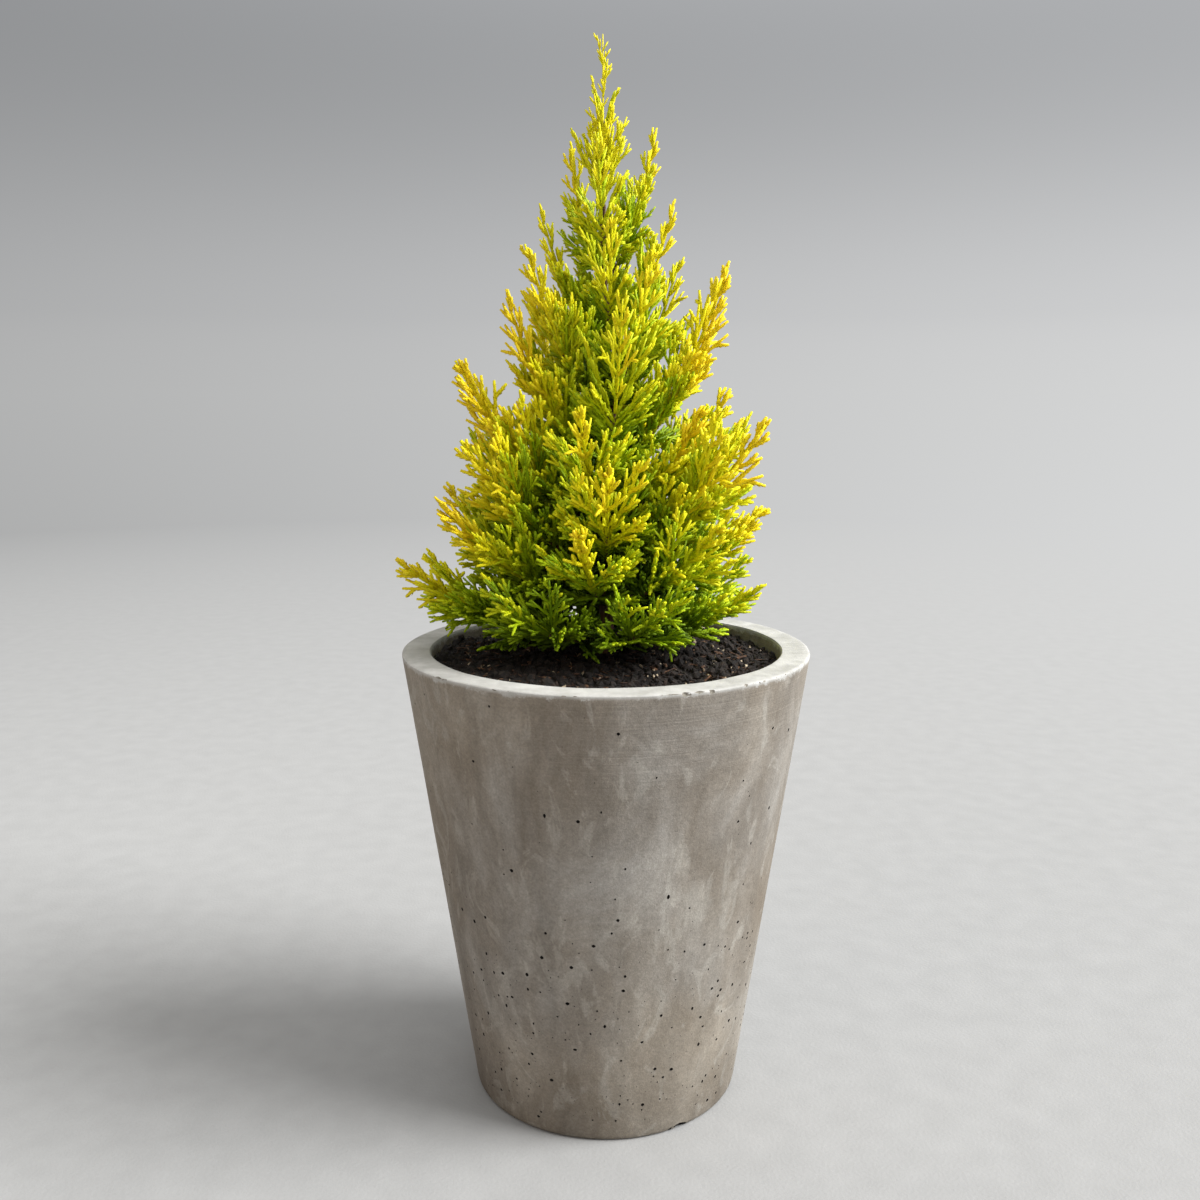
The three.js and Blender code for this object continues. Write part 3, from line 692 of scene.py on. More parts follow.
def leaf_arrays(c, seed):
    """Scale leaves in crossed pairs, which close up at a cord's tip: vertices, triangles and tints."""
    random = np.random.default_rng(seed)
    pairs = np.maximum(LEAF_PAIRS_LEAST, np.round(c["length"] / LEAF_PITCH)).astype(int)
    index = np.repeat(np.arange(len(pairs)), pairs)
    nth = np.arange(len(index)) - np.repeat(np.cumsum(pairs) - pairs, pairs)
    usable = 1 - np.minimum(LEAVES_STOP_MOST, LEAVES_STOP_SHORT * LEAF_LENGTH / c["length"][index])
    share = (nth + 0.5) / pairs[index] * usable
    centre = points_of(c, index, share)
    along, face, across = frames_of(c, index, share)
    r = mix(c["root"][index], c["tip"][index], share)[:, None]
    lateral = (nth % 2).astype(bool)
    closing = np.clip((share / usable - LEAVES_CLOSE_FROM) / (1 - LEAVES_CLOSE_FROM), 0, 1)[:, None]
    outward = np.where(lateral[:, None], across, face)
    leaves = []
    for out in (outward, -outward):
        side = np.cross(along, out)
        size = (random.uniform(*LEAF_VARIES, len(index)) * mix(*LEAF_TAPER, share))[:, None]
        length = LEAF_LENGTH * size
        width = LEAF_WIDTH * size * r / TWIG_RADIUS
        thick = LEAF_THICKNESS * size
        spread = np.where(lateral, SIDE_LEAF_SPREAD, FACE_LEAF_SPREAD)[:, None] * thick
        tip_out = r * (1 - LEAVES_CLOSE_BY * closing) + LEAF_RAISED * spread * (1 - closing)
        seat = centre + out * r * LEAF_SEAT
        half, back = side * width / 2, along * length * LEAF_BACK
        ridge = centre + out * (r + LEAF_RAISED * thick) + along * length * LEAF_RIDGE
        tip = centre + out * tip_out + along * length * LEAF_TIP
        leaves.append(np.stack([seat - half - back, seat + half - back, ridge, tip], 1))
    corners = [(1, 0, 2), (0, 3, 2), (3, 1, 2)]
    tints = np.repeat(np.tile(c["tint"][index].astype(int), 2), len(corners))
    return *copies(np.concatenate(leaves), corners), tints


def tube_faces(sides, steps):
    """Triangles of a closed tube whose points are rings, one after another."""
    faces = []
    for k in range(steps):
        for s in range(sides):
            a, b = k * sides + s, k * sides + (s + 1) % sides
            faces += [(a, b, b + sides), (a, b + sides, a + sides)]
    last = steps * sides
    for s in range(1, sides - 1):
        faces += [(0, s + 1, s), (last, last + s, last + s + 1)]
    return np.array(faces)


def tube_arrays(c):
    """Closed tapering tubes along cords, in groups that have the same number of steps."""
    groups = []
    base = 0
    steps = np.clip(np.round(c["length"] / TWIG_STEP), 1, TWIG_MOST_STEPS).astype(int)
    for count in np.unique(steps):
        chosen = np.flatnonzero(steps == count)
        rings = []
        for k in range(count + 1):
            share = np.full(len(chosen), k / count)
            centre = points_of(c, chosen, share)
            _, face, across = frames_of(c, chosen, share)
            radius = mix(c["root"][chosen], c["tip"][chosen], share)[:, None]
            for s in range(TWIG_SIDES):
                angle = 2 * math.pi * s / TWIG_SIDES
                rings.append(centre + radius * (face * math.cos(angle) + across * math.sin(angle)))
        corners = tube_faces(TWIG_SIDES, count)
        vertices, faces = copies(np.stack(rings, 1), corners)
        tints = np.repeat(c["tint"][chosen].astype(int), len(corners))
        groups.append((vertices, faces + base, tints))
        base += len(vertices)
    return [np.concatenate(arrays) for arrays in zip(*groups)]


def placed(name, data):
    made = bpy.data.objects.new(name, data)
    bpy.context.scene.collection.objects.link(made)
    return made


def mesh_object(name, materials, vertices, faces, tints=None, smooth=True):
    """An object from arrays of points in millimetres and faces. A face's tint is its material's number."""
    mesh = bpy.data.meshes.new(name)
    mesh.vertices.add(len(vertices))
    mesh.vertices.foreach_set("co", (vertices * MM).astype(np.float32).ravel())
    mesh.loops.add(faces.size)
    mesh.loops.foreach_set("vertex_index", faces.astype(np.int32).ravel())
    mesh.polygons.add(len(faces))
    mesh.polygons.foreach_set("loop_start", np.arange(0, faces.size, faces.shape[1], dtype=np.int32))
    if tints is not None:
        mesh.polygons.foreach_set("material_index", tints.astype(np.int32))
    mesh.polygons.foreach_set("use_smooth", np.full(len(faces), smooth))
    mesh.update(calc_edges=True)
    for material in materials:
        mesh.materials.append(material)
    return placed(name, mesh)


def mesh_piece(name, slot, nodes, *contents, **settings):
    """A mesh object as a piece of the visual, which may replace nodes of the model."""
    piece = mesh_object(name, *contents, **settings)
    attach(piece, "root")
    if nodes:
        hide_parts(*nodes)
    return piece


# Bark


def cell_line(cell, start, end, steps):
    """Points along a cell's middle line. One from the trunk starts inside it, where the trunk leans to."""
    lean = Vector((0, 0, 0))
    if start == 0:
        share = share_of(cell.start_at(0), GROUND, TRUNK_TOP)
        start = trunk_radius(share) * ROOT_INSIDE
        lean = trunk_point(share)
        lean.z = 0
    return [cell.middle(mix(start, end, k / steps)) + lean * (1 - k / steps) for k in range(steps + 1)]


def round_surface(share, angle, root_radius, tip_radius):
    return mix(root_radius, tip_radius, share)


def trunk_surface(share, angle, *_):
    at = share**TRUNK_STEP_POWER
    fade = math.exp(-at * (TRUNK_TOP - GROUND) / FLARE_HEIGHT)
    return trunk_radius(at) * (1 + FLARE_LOBE_DEPTH * fade * math.cos(FLARE_LOBES * angle))


def limb_piece(name, nodes, limbs, sides, relief, surface=round_surface):
    """One piece of closed limbs with furrowed bark. Each limb is its points and the radii at its two ends."""
    vertices, faces = [], []
    for points, root_radius, tip_radius in limbs:
        steps = len(points) - 1
        faces.append(tube_faces(sides, steps) + len(vertices))
        travelled = 0
        for k, point in enumerate(points):
            before, after = points[max(0, k - 1)], points[min(steps, k + 1)]
            along = (after - before).normalized()
            travelled += (point - before).length if k else 0
            across = square_to(along.orthogonal() if abs(along.z) < 0.9 else Vector((1, 0, 0)), along)
            beside = along.cross(across)
            for s in range(sides):
                angle = 2 * math.pi * s / sides
                out = across * math.cos(angle) + beside * math.sin(angle)
                radius = surface(k / steps, angle, root_radius, tip_radius)
                spot = out * (radius * FURROW_ACROSS) + along * (travelled * FURROW_ALONG)
                fine = FINE_FURROW_SHARE * abs(noise.noise(spot * FINE_FURROW_SCALE))
                furrows = abs(noise.noise(spot + point * FURROW_DRIFT)) + fine
                grain = noise.noise(point * GRAIN_SCALE + out * GRAIN_ROUND)
                height = BARK_LEVEL - FURROW_DEPTH * furrows + GRAIN_DEPTH * grain
                vertices.append(point + out * (radius + relief * height))
    mesh_piece(name, "bark", nodes, [bark], np.array(vertices), np.concatenate(faces))


# Materials


def linear(colour):
    """An sRGB colour as the linear one that a shader takes."""
    return [c / 12.92 if c <= 0.04045 else ((c + 0.055) / 1.055) ** 2.4 for c in colour] + [1]


class Nodes:
    """The shader nodes of a material or a world."""

    def __init__(self, owner):
        owner.use_nodes = True
        self.nodes, self.links = owner.node_tree.nodes, owner.node_tree.links

    def add(self, kind, inputs, output, **settings):
        """Adds a node, sets or links its inputs by name or number, and gives one of its outputs."""
        made = self.nodes.new("ShaderNode" + kind)
        for key, value in settings.items():
            setattr(made, key, value)
        for key, value in inputs.items():
            self.put(made.inputs[key], value)
        return made.outputs[output]

    def put(self, socket, value):
        if isinstance(value, bpy.types.NodeSocket):
            self.links.new(value, socket)
        else:
            socket.default_value = value

    def ramp(self, value, *stops, interpolation="LINEAR"):
        """Colours along a value. Each stop is a place from 0 to 1 and a linear colour."""
        made = self.nodes.new("ShaderNodeValToRGB")
        made.color_ramp.interpolation = interpolation
        elements = made.color_ramp.elements
        while len(elements) < len(stops):
            elements.new(0.5)
        for element, (position, colour) in zip(elements, stops):
            element.position = position
            element.color = colour
        self.links.new(value, made.inputs[0])
        return made.outputs["Color"]

    def range(self, value, low, high, low_result=0.0, high_result=1.0):
        names = ("Value", "From Min", "From Max", "To Min", "To Max")
        return self.add("MapRange", dict(zip(names, (value, low, high, low_result, high_result))), "Result")


class Look(Nodes):
    """A material made of nodes that read the piece's own coordinates, in metres."""

    def __init__(self, name, roughness):
        self.material = bpy.data.materials.new(name)
        super().__init__(self.material)
        self.shader = self.nodes["Principled BSDF"]
        self.shader.inputs["Roughness"].default_value = roughness
        self.place = self.add("TexCoord", {}, "Object")

    def noise(self, scale, detail=3, roughness=0.5, stretch=(1, 1, 1), swirl=0.0):
        """Cloudy values round 0.5. scale is in waves per metre, and stretch multiplies it for each axis."""
        place = self.add("Mapping", {"Vector": self.place, "Scale": stretch}, "Vector")
        names = ("Vector", "Scale", "Detail", "Roughness", "Distortion")
        return self.add("TexNoise", dict(zip(names, (place, scale, detail, roughness, swirl))), "Fac")

    def height(self):
        return self.add("SeparateXYZ", {"Vector": self.place}, "Z")

    def colours(self, value, *stops):
        """Colours along a value. Each stop is a place from 0 to 1 and an sRGB colour."""
        return self.ramp(value, *((position, linear(colour)) for position, colour in stops))

    def blend(self, share, first, second, how="MIX"):
        made = self.nodes.new("ShaderNodeMix")
        made.data_type = "RGBA"
        made.blend_type = how
        for socket, value in ((0, share), (6, first), (7, second)):
            self.put(made.inputs[socket], value)
        return made.outputs[2]

    def dim(self, colour, grey):
        grey = self.add("CombineColor", {0: grey, 1: grey, 2: grey}, "Color")
        return self.blend(1.0, colour, grey, "MULTIPLY")

    def shade(self, colour, value, low, high):
        """Darkens and lightens a colour by a cloudy value."""
        return self.dim(colour, self.range(value, 0.3, 0.7, low, high))

    def times(self, first, second):
        return self.add("Math", {0: first, 1: second}, "Value", operation="MULTIPLY")

    def plus(self, first, second):
        return self.add("Math", {0: first, 1: second}, "Value", operation="ADD")

    def finish(self, colour, relief, distance):
        """Links the colour and a relief whose height is in metres."""
        self.links.new(colour, self.shader.inputs["Base Color"])
        bump = self.add("Bump", {"Height": relief, "Distance": distance}, "Normal")
        self.links.new(bump, self.shader.inputs["Normal"])
        return self.material


def foliage_material(name, colour):
    material = bpy.data.materials.new("foliage_" + name)
    shader = Nodes(material).nodes["Principled BSDF"]
    shader.inputs["Base Color"].default_value = linear(colour)
    shader.inputs["Roughness"].default_value = 0.55
    shader.inputs["Specular IOR Level"].default_value = 0.22
    return material


def concrete_look():
    """Cast concrete with cloudy patches, runs of water, trowel marks under the rim and a pale rim, partly
    wear and partly painted light.
    """
    look = Look("concrete", 0.86)
    patches = look.noise(11, 7, 0.68, (1, 1, 0.6), 0.5)
    colour = look.colours(
        patches,
        (0.34, (0.455, 0.425, 0.385)),
        (0.46, (0.505, 0.48, 0.445)),
        (0.55, (0.55, 0.53, 0.50)),
        (0.68, (0.61, 0.595, 0.57)),
    )
    warmth = look.range(look.noise(5.1, 2, 0.5), 0.4, 0.6)
    colour = look.blend(warmth, colour, look.blend(1.0, colour, linear((0.985, 0.96, 0.92)), "MULTIPLY"))
    smears = look.range(look.noise(32, 6, 0.6, (1, 1, 0.55), 1.6), 0.55, 0.62, 0.0, 0.35)
    colour = look.blend(smears, colour, linear((0.66, 0.645, 0.61)))
    colour = look.shade(colour, look.noise(38, 4, 0.6, (1, 1, 0.05)), 0.86, 1.12)
    colour = look.shade(colour, look.noise(110, 5, 0.7, (1, 1, 1), 0.8), 0.90, 1.10)
    colour = look.shade(colour, look.noise(520, 2, 0.6), 0.86, 1.13)
    height = look.height()
    # Painted shade: the wall darkens towards the foot, where the pot meets the floor.
    colour = look.dim(colour, look.range(height, 0.0, 0.07, 0.78, 1.0))
    # The rim's pale top is partly wear and partly painted light, lighter where light falls from above.
    ragged = look.range(look.noise(95, 6, 0.75), 0.5, 0.72, 0.0, 0.0042)
    rim_wear_and_top_light = look.range(look.plus(height, ragged), 0.3957, 0.3986)
    rim = look.colours(look.noise(45, 4, 0.6), (0.35, (0.66, 0.655, 0.635)), (0.65, (0.77, 0.765, 0.75)))
    colour = look.blend(rim_wear_and_top_light, colour, rim)
    trowelled = look.range(height, 0.27, 0.37)
    marks = look.times(look.noise(26, 3, 0.6, (0.15, 0.15, 14)), trowelled)
    grain = look.times(look.noise(900, 3, 0.6), 0.35)
    relief = look.plus(look.plus(look.times(marks, 0.7), grain), look.times(look.noise(120, 3, 0.6), 0.6))
    return look.finish(colour, relief, 0.0009)


def pit_look():
    """The inside of a pit or chip, near-black with painted shade and coarser than the skin, but pale in the
    rim.
    """
    look = Look("concrete_pit", 0.95)
    # Painted shade: deep in a pit or chip the colour is near-black.
    deep = look.colours(look.noise(300, 3), (0.35, (0.06, 0.052, 0.045)), (0.65, (0.13, 0.115, 0.10)))
    fresh_and_unshaded = look.colours(look.noise(300, 3), (0.35, (0.45, 0.43, 0.39)), (0.65, (0.62, 0.60, 0.56)))
    colour = look.blend(look.range(look.height(), 0.392, 0.395), deep, fresh_and_unshaded)
    return look.finish(colour, look.noise(700, 3), 0.0006)


def earth_look():
    """Moist potting mix: near-black crumbs with browner ones among them."""
    look = Look("earth", 0.92)
    colour = look.colours(
        look.noise(210, 4, 0.7),
        (0.36, (0.055, 0.043, 0.036)),
        (0.52, (0.115, 0.086, 0.066)),
        (0.66, (0.20, 0.148, 0.11)),
    )
    colour = look.shade(colour, look.noise(22, 2), 0.8, 1.2)
    return look.finish(colour, look.noise(900, 4, 0.7), 0.0012)


def bark_look():
    """Young brown bark with long fibres and grey flakes."""
    look = Look("bark", 0.85)
    fibres = look.noise(620, 4, 0.6, (1, 1, 0.09))
    colour = look.colours(
        fibres,
        (0.36, (0.20, 0.125, 0.085)),
        (0.50, (0.37, 0.25, 0.17)),
        (0.64, (0.54, 0.41, 0.30)),
    )
    flakes = look.range(look.noise(90, 3), 0.52, 0.66, 0.0, 0.5)
    colour = look.blend(flakes, colour, linear((0.50, 0.44, 0.37)))
    return look.finish(colour, fibres, 0.0007)


def fibre_look():
    """Shredded bark in the potting mix."""
    look = Look("fibre", 0.9)
    colour = look.colours(
        look.noise(150, 3, 0.6),
        (0.38, (0.15, 0.10, 0.07)),
        (0.52, (0.29, 0.19, 0.125)),
        (0.62, (0.44, 0.31, 0.20)),
    )
    return look.finish(colour, look.noise(1500, 3), 0.0004)


def pale_chip_look():
    """Small chips of pumice."""
    look = Look("pale_chip", 0.9)
    colour = look.colours(look.noise(170, 3), (0.4, (0.45, 0.37, 0.29)), (0.6, (0.80, 0.73, 0.62)))
    return look.finish(colour, look.noise(1800, 3), 0.0004)


def floor_look():
    """A plain pale floor that takes on the sky's colour at the horizon far out, so no line parts the two."""
    look = Look("floor", 0.9)
    colour = look.colours(look.noise(30, 3), (0.3, (0.615, 0.615, 0.61)), (0.7, (0.635, 0.635, 0.63)))
    look.finish(colour, look.noise(300, 2), 0.0003)
    distance = look.add("VectorMath", {0: look.place}, "Value", operation="LENGTH")
    heading = look.add("VectorMath", {0: look.place}, "Vector", operation="NORMALIZE")
    across = look.add("SeparateXYZ", {"Vector": heading}, "X")
    strength = look.range(across, -1, 1, *SKY_SIDES)
    horizon = look.add("Emission", {"Color": (*SKY[0][1], 1), "Strength": strength}, "Emission")
    far = look.range(distance, *FLOOR_FADES)
    surface = look.add("MixShader", {0: far, 1: look.shader.outputs["BSDF"], 2: horizon}, "Shader")
    look.links.new(surface, look.nodes["Material Output"].inputs["Surface"])
    return look.material


foliage_tints = [foliage_material(name, colour) for name, colour in TINTS]
concrete = concrete_look()
concrete_pit = pit_look()
earth = earth_look()
bark = bark_look()
fibre = fibre_look()
pale_chip = pale_chip_look()

# The camera stands where the photograph was taken from
camera = placed("camera", bpy.data.cameras.new("camera"))
camera.data.lens = 35.81
camera.data.sensor_width = 36
camera.location = (-0.0052, -1.027, 0.619)
camera.rotation_euler = (80.13 * DEGREE, 0, 0)
bpy.context.scene.camera = camera

# Foliage: a piece of leaves and one of twigs for each tier and for the leader


def foliage_pieces(name, cords, seed, slot, nodes):
    c = cord_arrays(cords)
    mesh_piece(f"leaves_{name}", slot, nodes, foliage_tints, *leaf_arrays(c, seed))
    mesh_piece(f"twigs_{name}", slot, [], foliage_tints, *tube_arrays(c))


boughs, stems, bough_nodes = [], [], []
for level, (name, low, tip_level, first, reaches, goldens) in enumerate(TIERS):
    high = TIERS[level + 1][1] if level + 1 < len(TIERS) else SPIRE_TOP
    half_width = math.pi / len(reaches)
    filling_golden = mix(*FILLING_GOLDEN, share_of(low, *CROWN_LEVELS))
    cords = []
    for i, (reach, golden) in enumerate(zip(reaches, goldens)):
        cell = Cell(low, high, first * DEGREE + i * 2 * half_width, half_width, reach, tip_level)
        root_length = ROOT_CLEAR
        stem_from = 0
        stem_radius = mix(*STEM_RADII, share_of(reach, 0, LONG_REACH))
        if name in BOUGH_TIERS:
            length = reach * BOUGH_SHARE
            root_length = stem_from = length + GAP / math.hypot(1, cell.slope(length))
            stem_radius = BOUGH_TIP_RADIUS
            boughs.append((cell_line(cell, 0, length, BOUGH_STEPS), BOUGH_RADIUS, BOUGH_TIP_RADIUS))
            bough_nodes.append(f"bough_{name}_{i + 1}")
        stem_line = cell_line(cell, stem_from, reach * STEM_SHARE, STEM_STEPS)
        stems.append((stem_line, stem_radius, stem_radius * STEM_TAPER))
        seed = level * 10 + i + 1
        fronds = mass_plan(cell, root_length, seed)
        for frond in [*fronds, fronds[0].crossing()]:
            add_frond(cords, cell, frond, golden)
        for filling in range(2 if name in FULLER_TIERS else 1):
            for frond in mass_plan(cell, root_length, seed + (filling + 1) * FILLING_SEED)[1:]:
                add_frond(cords, cell, frond, golden * filling_golden)
        for frond in inner_plan(cell, root_length, seed):
            add_frond(cords, cell, frond, golden * INNER_GOLDEN)
    slot = "foliage_gold" if name in GOLDEN_TIERS else "foliage_green"
    foliage_pieces(name, cords, level, slot, [f"foliage_{name}_{i + 1}" for i in range(len(reaches))])

leader_foot = trunk_point(1) + UP * GAP
leader_tip = Vector((LEADER_LEAN, 0, LEADER_TIP))
leader_cell = Cell(SPIRE_TOP, SPIRE_TOP + LEADER_SPACE, 0, math.pi, LEADER_REACH)
cords = []
for number, steps, seed, places, power, first, turn, roll, narrower, shorter in LEADER_SHOOTS:
    for i in range(number):
        share = mix(*places, (i / steps) ** power)
        bearing = first + i * turn
        out = Vector((math.cos(bearing), math.sin(bearing), 0))
        angle = mix(*LEADER_ANGLES, share) * narrower * DEGREE
        along = UP * math.cos(angle) + out * math.sin(angle)
        face = Quaternion(along, (i % 3) * roll * DEGREE) @ along.cross(UP.cross(out))
        length = mix(*LEADER_SHOOT_LENGTHS, share**LEADER_SHOOT_FALL) * shorter
        shoot = Frond(leader_foot.lerp(leader_tip, share), along, face, length, seed + i)
        add_frond(cords, leader_cell, shoot, LEADER_GOLDEN, mix(*LEADER_FINENESS, share))
climb = leader_tip - leader_foot
length = climb.length / (1 + FROND_CURL) - LEADER_BELOW_TIP
leader = Frond(leader_foot, climb.normalized(), Vector((0, -1, 0)), length, LEADER_SEED, LEADER_FINGER_SHARE)
add_frond(cords, leader_cell, leader, LEADER_GOLDEN, LEADER_FINENESS[1])
foliage_pieces("leader", cords, LEADER_SEED, "foliage_green", ["foliage_leader"])

# Trunk, boughs and stems, with the bark's relief
trunk_line = [trunk_point((k / TRUNK_STEPS) ** TRUNK_STEP_POWER) for k in range(TRUNK_STEPS + 1)]
limb_piece("trunk_bark", ["trunk"], [(trunk_line, 0, 0)], TRUNK_SIDES, TRUNK_RELIEF, trunk_surface)
limb_piece("bough_bark", bough_nodes, boughs, BOUGH_SIDES, BOUGH_RELIEF)
limb_piece("stems", [], stems, STEM_SIDES, STEM_RELIEF)

# Pot: a turned wall with pinholes, and chips along its rim and foot


def outer_radius(z):
    return mix(FOOT_RADIUS, RIM_RADIUS, z / POT_HEIGHT)


def inner_radius(z):
    at_floor = outer_radius(FLOOR_THICKNESS) - FLOOR_WALL
    return mix(at_floor, RIM_RADIUS - RIM_WALL, (z - FLOOR_THICKNESS) / (POT_HEIGHT - FLOOR_THICKNESS))


def rounded(a, corner, b):
    """Points round a corner from a to b."""
    found = []
    for k in range(POT_CORNER_STEPS + 1):
        t = k / POT_CORNER_STEPS
        found.append([(1 - t) ** 2 * p + 2 * t * (1 - t) * q + t * t * r for p, q, r in zip(a, corner, b)])
    return found


def pot_profile():
    top_edge = POT_HEIGHT - RIM_ARRIS
    inner_edge = POT_HEIGHT - INNER_ARRIS
    wall = [(outer_radius(z), z) for z in np.linspace(FOOT_ARRIS, top_edge, POT_WALL_STEPS)]
    inside = [(inner_radius(z), z) for z in np.linspace(inner_edge, FLOOR_THICKNESS, POT_INSIDE_STEPS)]
    foot = rounded((FOOT_RADIUS - FOOT_ARRIS, 0), (FOOT_RADIUS, 0), wall[0])
    rim = rounded(wall[-1], (RIM_RADIUS, POT_HEIGHT), (RIM_RADIUS - RIM_ARRIS, POT_HEIGHT))
    lip = (inner_radius(POT_HEIGHT) + INNER_ARRIS, POT_HEIGHT)
    flat = [(mix(rim[-1][0], lip[0], t), POT_HEIGHT) for t in np.linspace(0, 1, POT_RIM_STEPS)[1:-1]]
    edge = rounded(lip, (inner_radius(POT_HEIGHT), POT_HEIGHT), inside[0])
    return foot + wall[1:-1] + rim + flat + edge + inside[1:]


def lathe_arrays(profile, sides, moved):
    """A closed turned solid from a profile of radii and heights, whose two ends run on to the axis."""
    vertices = [(0, 0, profile[0][1])]
    for radius, z in profile:
        for s in range(sides):
            vertices.append(moved(radius, 2 * math.pi * s / sides, z))
    vertices.append((0, 0, profile[-1][1]))
    faces = []
    last = len(vertices) - 1 - sides
    for s in range(sides):
        beside = (s + 1) % sides
        faces += [(0, 1 + beside, 1 + s), (last + sides, last + s, last + beside)]
        for first in range(1, last, sides):
            a, b = first + s, first + beside
            faces += [(a, b, b + sides), (a, b + sides, a + sides)]
    return np.array(vertices, float), np.array(faces)


def wave(x, y, z):
    return noise.noise(Vector((x, y, z))) * 0.5 + 0.5


def cast_wall(radius, angle, z):
    """A point of the pot, uneven as cast by hand. It never stands further out than the turned shape."""
    x, y = math.cos(angle), math.sin(angle)
    uneven = wave(x * POT_WAVES_ROUND, y * POT_WAVES_ROUND, z / POT_WAVE_UP)
    outside = radius > inner_radius(max(z, FLOOR_THICKNESS)) + POT_NEAR
    inset = POT_INSET + POT_UNEVEN * uneven if outside else 0
    level = z
    if z > POT_HEIGHT - POT_NEAR:
        level -= RIM_UNEVEN * wave(x * RIM_WAVES_ROUND, y * RIM_WAVES_ROUND, radius / RIM_WAVE_ACROSS)
    return ((radius - inset) * x, (radius - inset) * y, level)


def blob_arrays(centres, sizes, turns, seed, rough):
    """Small rough pebbles as arrays: one per centre, with three sizes each."""
    random = np.random.default_rng(seed)
    bm = bmesh.new()
    bmesh.ops.create_icosphere(bm, subdivisions=1, radius=1)
    shape = np.array([v.co[:] for v in bm.verts])
    corners = [[v.index for v in f.verts] for f in bm.faces]
    bm.free()
    points = shape * random.uniform(1 - rough, 1 + rough, (len(centres), len(shape), 1)) * sizes[:, None]
    return copies(np.einsum("nij,nkj->nki", turns, points) + centres[:, None], corners)


def wall_turns(angles):
    """Turns that set a pebble's first size outwards from the pot's wall and its last one upright."""
    x, y, nil = np.cos(angles), np.sin(angles), np.zeros(len(angles))
    return np.stack([np.stack(axis, 1) for axis in ((x, y, nil), (-y, x, nil), (nil, nil, nil + 1))], 2)


def random_turns(random, count):
    x = unit(random.normal(size=(count, 3)))
    helper = unit(random.normal(size=(count, 3)))
    z = unit(np.cross(x, helper))
    return np.stack([x, np.cross(z, x), z], 2)


def wall_place(angle, radius, z):
    return np.array((radius * math.cos(angle), radius * math.sin(angle), z))


def pinholes():
    """Centres, sizes and turns of the pits in the pot's wall, closer together in its lower half."""
    random = np.random.default_rng(PINHOLE_SEED)
    found = []
    while len(found) < PINHOLES:
        z = random.uniform(*PINHOLE_LEVELS)
        if random.uniform() > mix(1.0, PINHOLES_HIGH_UP, share_of(z, *PINHOLES_THIN_OUT)):
            continue
        angle = random.uniform(0, 2 * math.pi)
        size = mix(*PINHOLE_SIZES, random.uniform() ** PINHOLE_POWER)
        centre = wall_place(angle, outer_radius(z) - POT_INSET - POT_UNEVEN / 2, z)
        if all(np.linalg.norm(centre - at) > size + its_size + PINHOLE_APART for at, its_size, _ in found):
            found.append((centre, size, angle))
    centres, sizes, angles = (np.array(values) for values in zip(*found))
    oval = random.uniform(*PINHOLE_OVAL, PINHOLES)
    shape = np.stack([sizes * PINHOLE_DEEPER, sizes * oval, sizes * (1 / oval)], 1)
    return centres, shape, wall_turns(angles)


def chips():
    """Flat rough bites and small nicks out of the rim's outer edge, and notches at the foot."""
    random = np.random.default_rng(NICK_SEED)
    marks = list(CHIPS)
    for _ in range(NICKS):
        bearing = random.uniform(0, 360)
        z = POT_HEIGHT - random.uniform(0, NICK_DROP)
        marks.append((bearing, z, random.uniform(*NICK_WIDTHS), *random.uniform(*NICK_DEPTHS, 2)))
    bearings, levels, widths, depths, heights = np.array(marks).T
    angles = bearings * DEGREE
    centres = [wall_place(angle, outer_radius(z) - POT_INSET, z) for angle, z in zip(angles, levels)]
    return np.array(centres), np.stack([depths, widths, heights], 1), wall_turns(angles)


def carve(piece, pebbles, seed, rough):
    """Takes pebbles away from a piece, with the pits' material inside and a crisp edge round each."""
    vertices, faces = blob_arrays(*pebbles, seed, rough)
    cutter = mesh_object("cutters", [concrete, concrete_pit], vertices, faces, np.ones(len(faces)), False)
    modifier = piece.modifiers.new("carve", "BOOLEAN")
    modifier.operation = "DIFFERENCE"
    modifier.solver = "MANIFOLD"
    modifier.object = cutter
    carved = bpy.data.meshes.new_from_object(piece.evaluated_get(bpy.context.evaluated_depsgraph_get()))
    piece.modifiers.clear()
    bm = bmesh.new()
    bm.from_mesh(carved)
    for edge in bm.edges:
        edge.smooth = len({face.material_index for face in edge.link_faces}) == 1
    bm.to_mesh(carved)
    bm.free()
    piece.data = carved
    bpy.data.objects.remove(cutter)


turned = lathe_arrays(pot_profile(), POT_SIDES, cast_wall)
pot = mesh_piece("pot_cast", "concrete", ["pot"], [concrete, concrete_pit], *turned)
carve(pot, pinholes(), PINHOLE_SEED, PINHOLE_ROUGH)
carve(pot, chips(), PINHOLE_SEED + 1, CHIP_ROUGH)

# Soil: the source's surface with finer relief, under loose crumbs, bark fibres and pale chips


def soil_height(x, y):
    radius = math.hypot(x, y)
    slope = mix(SOIL_AT_TRUNK, SOIL_AT_WALL, share_of(radius, 0, inner_radius(SOIL_AT_WALL)))
    long_x, long_y, short = SOIL_HEAP_LENGTH
    heaps = math.sin(x / long_x + 0.6) * math.cos(y / long_y - 0.4) + 0.4 * math.sin((x + y) / short)
    away = share_of(radius, SOIL_FLAT_RADIUS, 2 * SOIL_FLAT_RADIUS)
    return mix(SOIL_AT_TRUNK, slope + SOIL_HEAP * heaps, away)


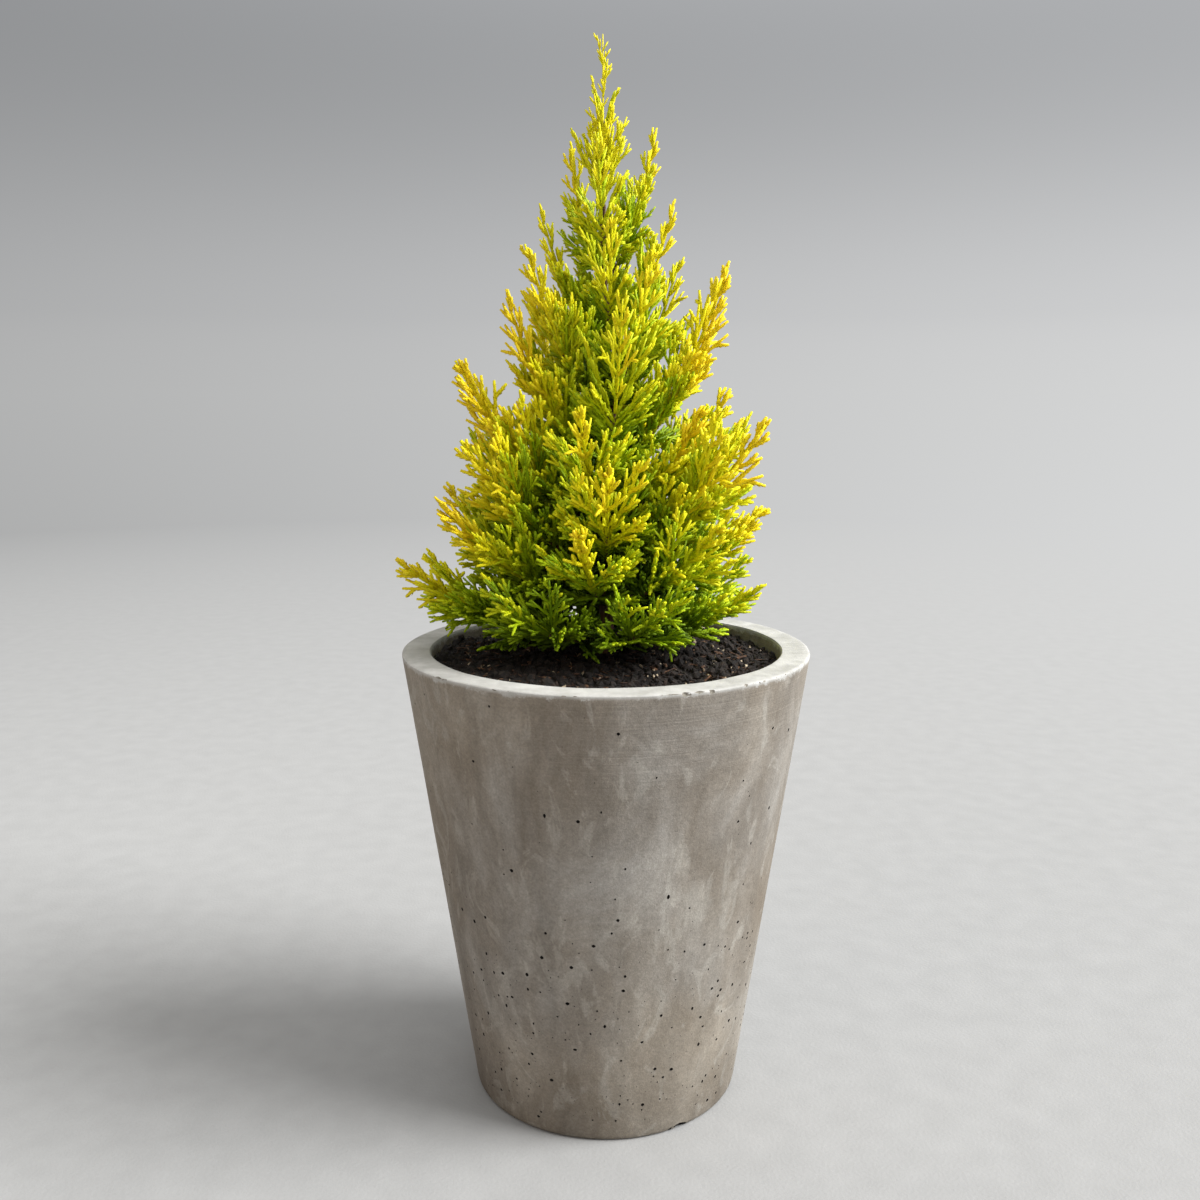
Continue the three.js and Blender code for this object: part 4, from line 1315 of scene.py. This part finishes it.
def soil_surface(x, y):
    """Height of the crumbly surface, which is level with the source's on the whole."""
    lump, crumb, grain = (
        height * noise.noise(Vector((x / width, y / width, layer))) for width, height, layer in SOIL_RELIEF
    )
    rough = min(1, abs(math.hypot(x, y) - TRUNK_FOOT_RADIUS) / SOIL_FADE)
    return soil_height(x, y) + rough * (lump + abs(crumb) + grain - SOIL_SUNK)


def soil_point(radius, angle, z):
    x, y = radius * math.cos(angle), radius * math.sin(angle)
    return (x, y, soil_surface(x, y) if z == SOIL_AT_WALL else z)


def scattered(random, count, raised):
    """Places a little above the soil, clear of the trunk and the wall."""
    wall = inner_radius(SOIL_AT_WALL) - LOOSE_FROM_WALL
    radius = np.sqrt(random.uniform(LOOSE_FROM_TRUNK**2, wall**2, count))
    angle = random.uniform(0, 2 * math.pi, count)
    x, y = radius * np.cos(angle), radius * np.sin(angle)
    z = np.array([soil_surface(a, b) for a, b in zip(x, y)]) + raised
    return np.stack([x, y, z], 1)


def loose_piece(name, material, *pebbles):
    mesh_piece(name, "soil", [], [material], *blob_arrays(*pebbles), smooth=False)


soil_edge = inner_radius(SOIL_AT_WALL) - GAP
profile = [(soil_edge - inset, SOIL_AT_WALL - SOIL_SKIRT) for inset in SOIL_SKIRT_INSETS]
profile += [(radius, SOIL_AT_WALL) for radius in np.linspace(soil_edge, 1, SOIL_RINGS)]
vertices, faces = lathe_arrays(profile, SOIL_SIDES, soil_point)
vertices[-1] = (0, 0, SOIL_AT_TRUNK)
mesh_piece("soil_mix", "soil", ["soil"], [earth], vertices, faces)

random = np.random.default_rng(SOIL_SEED)
places = scattered(random, CRUMBS, CRUMBS_RAISED)
sizes = mix(*CRUMB_SIZES, random.uniform(size=(CRUMBS, 1)) ** CRUMB_POWER)
sizes = sizes * random.uniform(*CRUMB_VARIES, (CRUMBS, 3))
loose_piece("soil_crumbs", earth, places, sizes, random_turns(random, CRUMBS), SOIL_SEED, CRUMB_ROUGH)

heading = random.uniform(0, 2 * math.pi, FIBRES)
tilt = random.normal(0, FIBRE_TILT, FIBRES)
along = np.stack([np.cos(heading) * np.cos(tilt), np.sin(heading) * np.cos(tilt), np.sin(tilt)], 1)
upright = unit(np.array((0, 0, 1.0)) - along * along[:, 2:])
turns = np.stack([along, np.cross(upright, along), upright], 2)
lengths = random.uniform(*FIBRE_LENGTHS, FIBRES)
widths = mix(*FIBRE_WIDTHS, random.uniform(size=FIBRES) ** FIBRE_POWER)
sizes = np.stack([lengths, widths, random.uniform(*FIBRE_THICKNESSES, FIBRES)], 1)
places = scattered(random, FIBRES, FIBRES_RAISED)
loose_piece("soil_fibres", fibre, places, sizes, turns, SOIL_SEED + 1, FIBRE_ROUGH)

sizes = np.stack([random.uniform(*between, PALE_CHIPS) for between in PALE_CHIP_SIZES], 1)
places = scattered(random, PALE_CHIPS, PALE_CHIPS_RAISED)
turns = random_turns(random, PALE_CHIPS)
loose_piece("soil_pale_chips", pale_chip, places, sizes, turns, SOIL_SEED + 2, PALE_CHIP_ROUGH)

# Sky, floor and lamps
world = bpy.data.worlds.new("studio")
sky = Nodes(world)
direction = sky.add("TexCoord", {}, "Generated")
height = sky.add("SeparateXYZ", {"Vector": direction}, "Z")
across = sky.add("SeparateXYZ", {"Vector": direction}, "X")
colour = sky.ramp(height, *((position, (*colour, 1)) for position, colour in SKY), interpolation="CARDINAL")
sky.put(sky.nodes["Background"].inputs["Color"], colour)
sky.put(sky.nodes["Background"].inputs["Strength"], sky.range(across, -1, 1, *SKY_SIDES))
bpy.context.scene.world = world
bpy.context.scene.view_settings.view_transform = "Standard"

corners = np.array([(-1, -1, 0), (1, -1, 0), (1, 1, 0), (-1, 1, 0)]) * FLOOR_HALF
floor = mesh_object("floor", [floor_look()], corners, np.array([(0, 1, 2, 3)]), smooth=False)
floor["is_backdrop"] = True

for name, strength, width, source, colour in LAMPS:
    lamp = placed(name, bpy.data.lights.new(name, "SUN"))
    lamp.data.energy = strength
    lamp.data.angle = width * DEGREE
    lamp.data.color = colour
    lamp.rotation_euler = (-Vector(source)).to_track_quat("-Z", "Y").to_euler()

low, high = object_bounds()
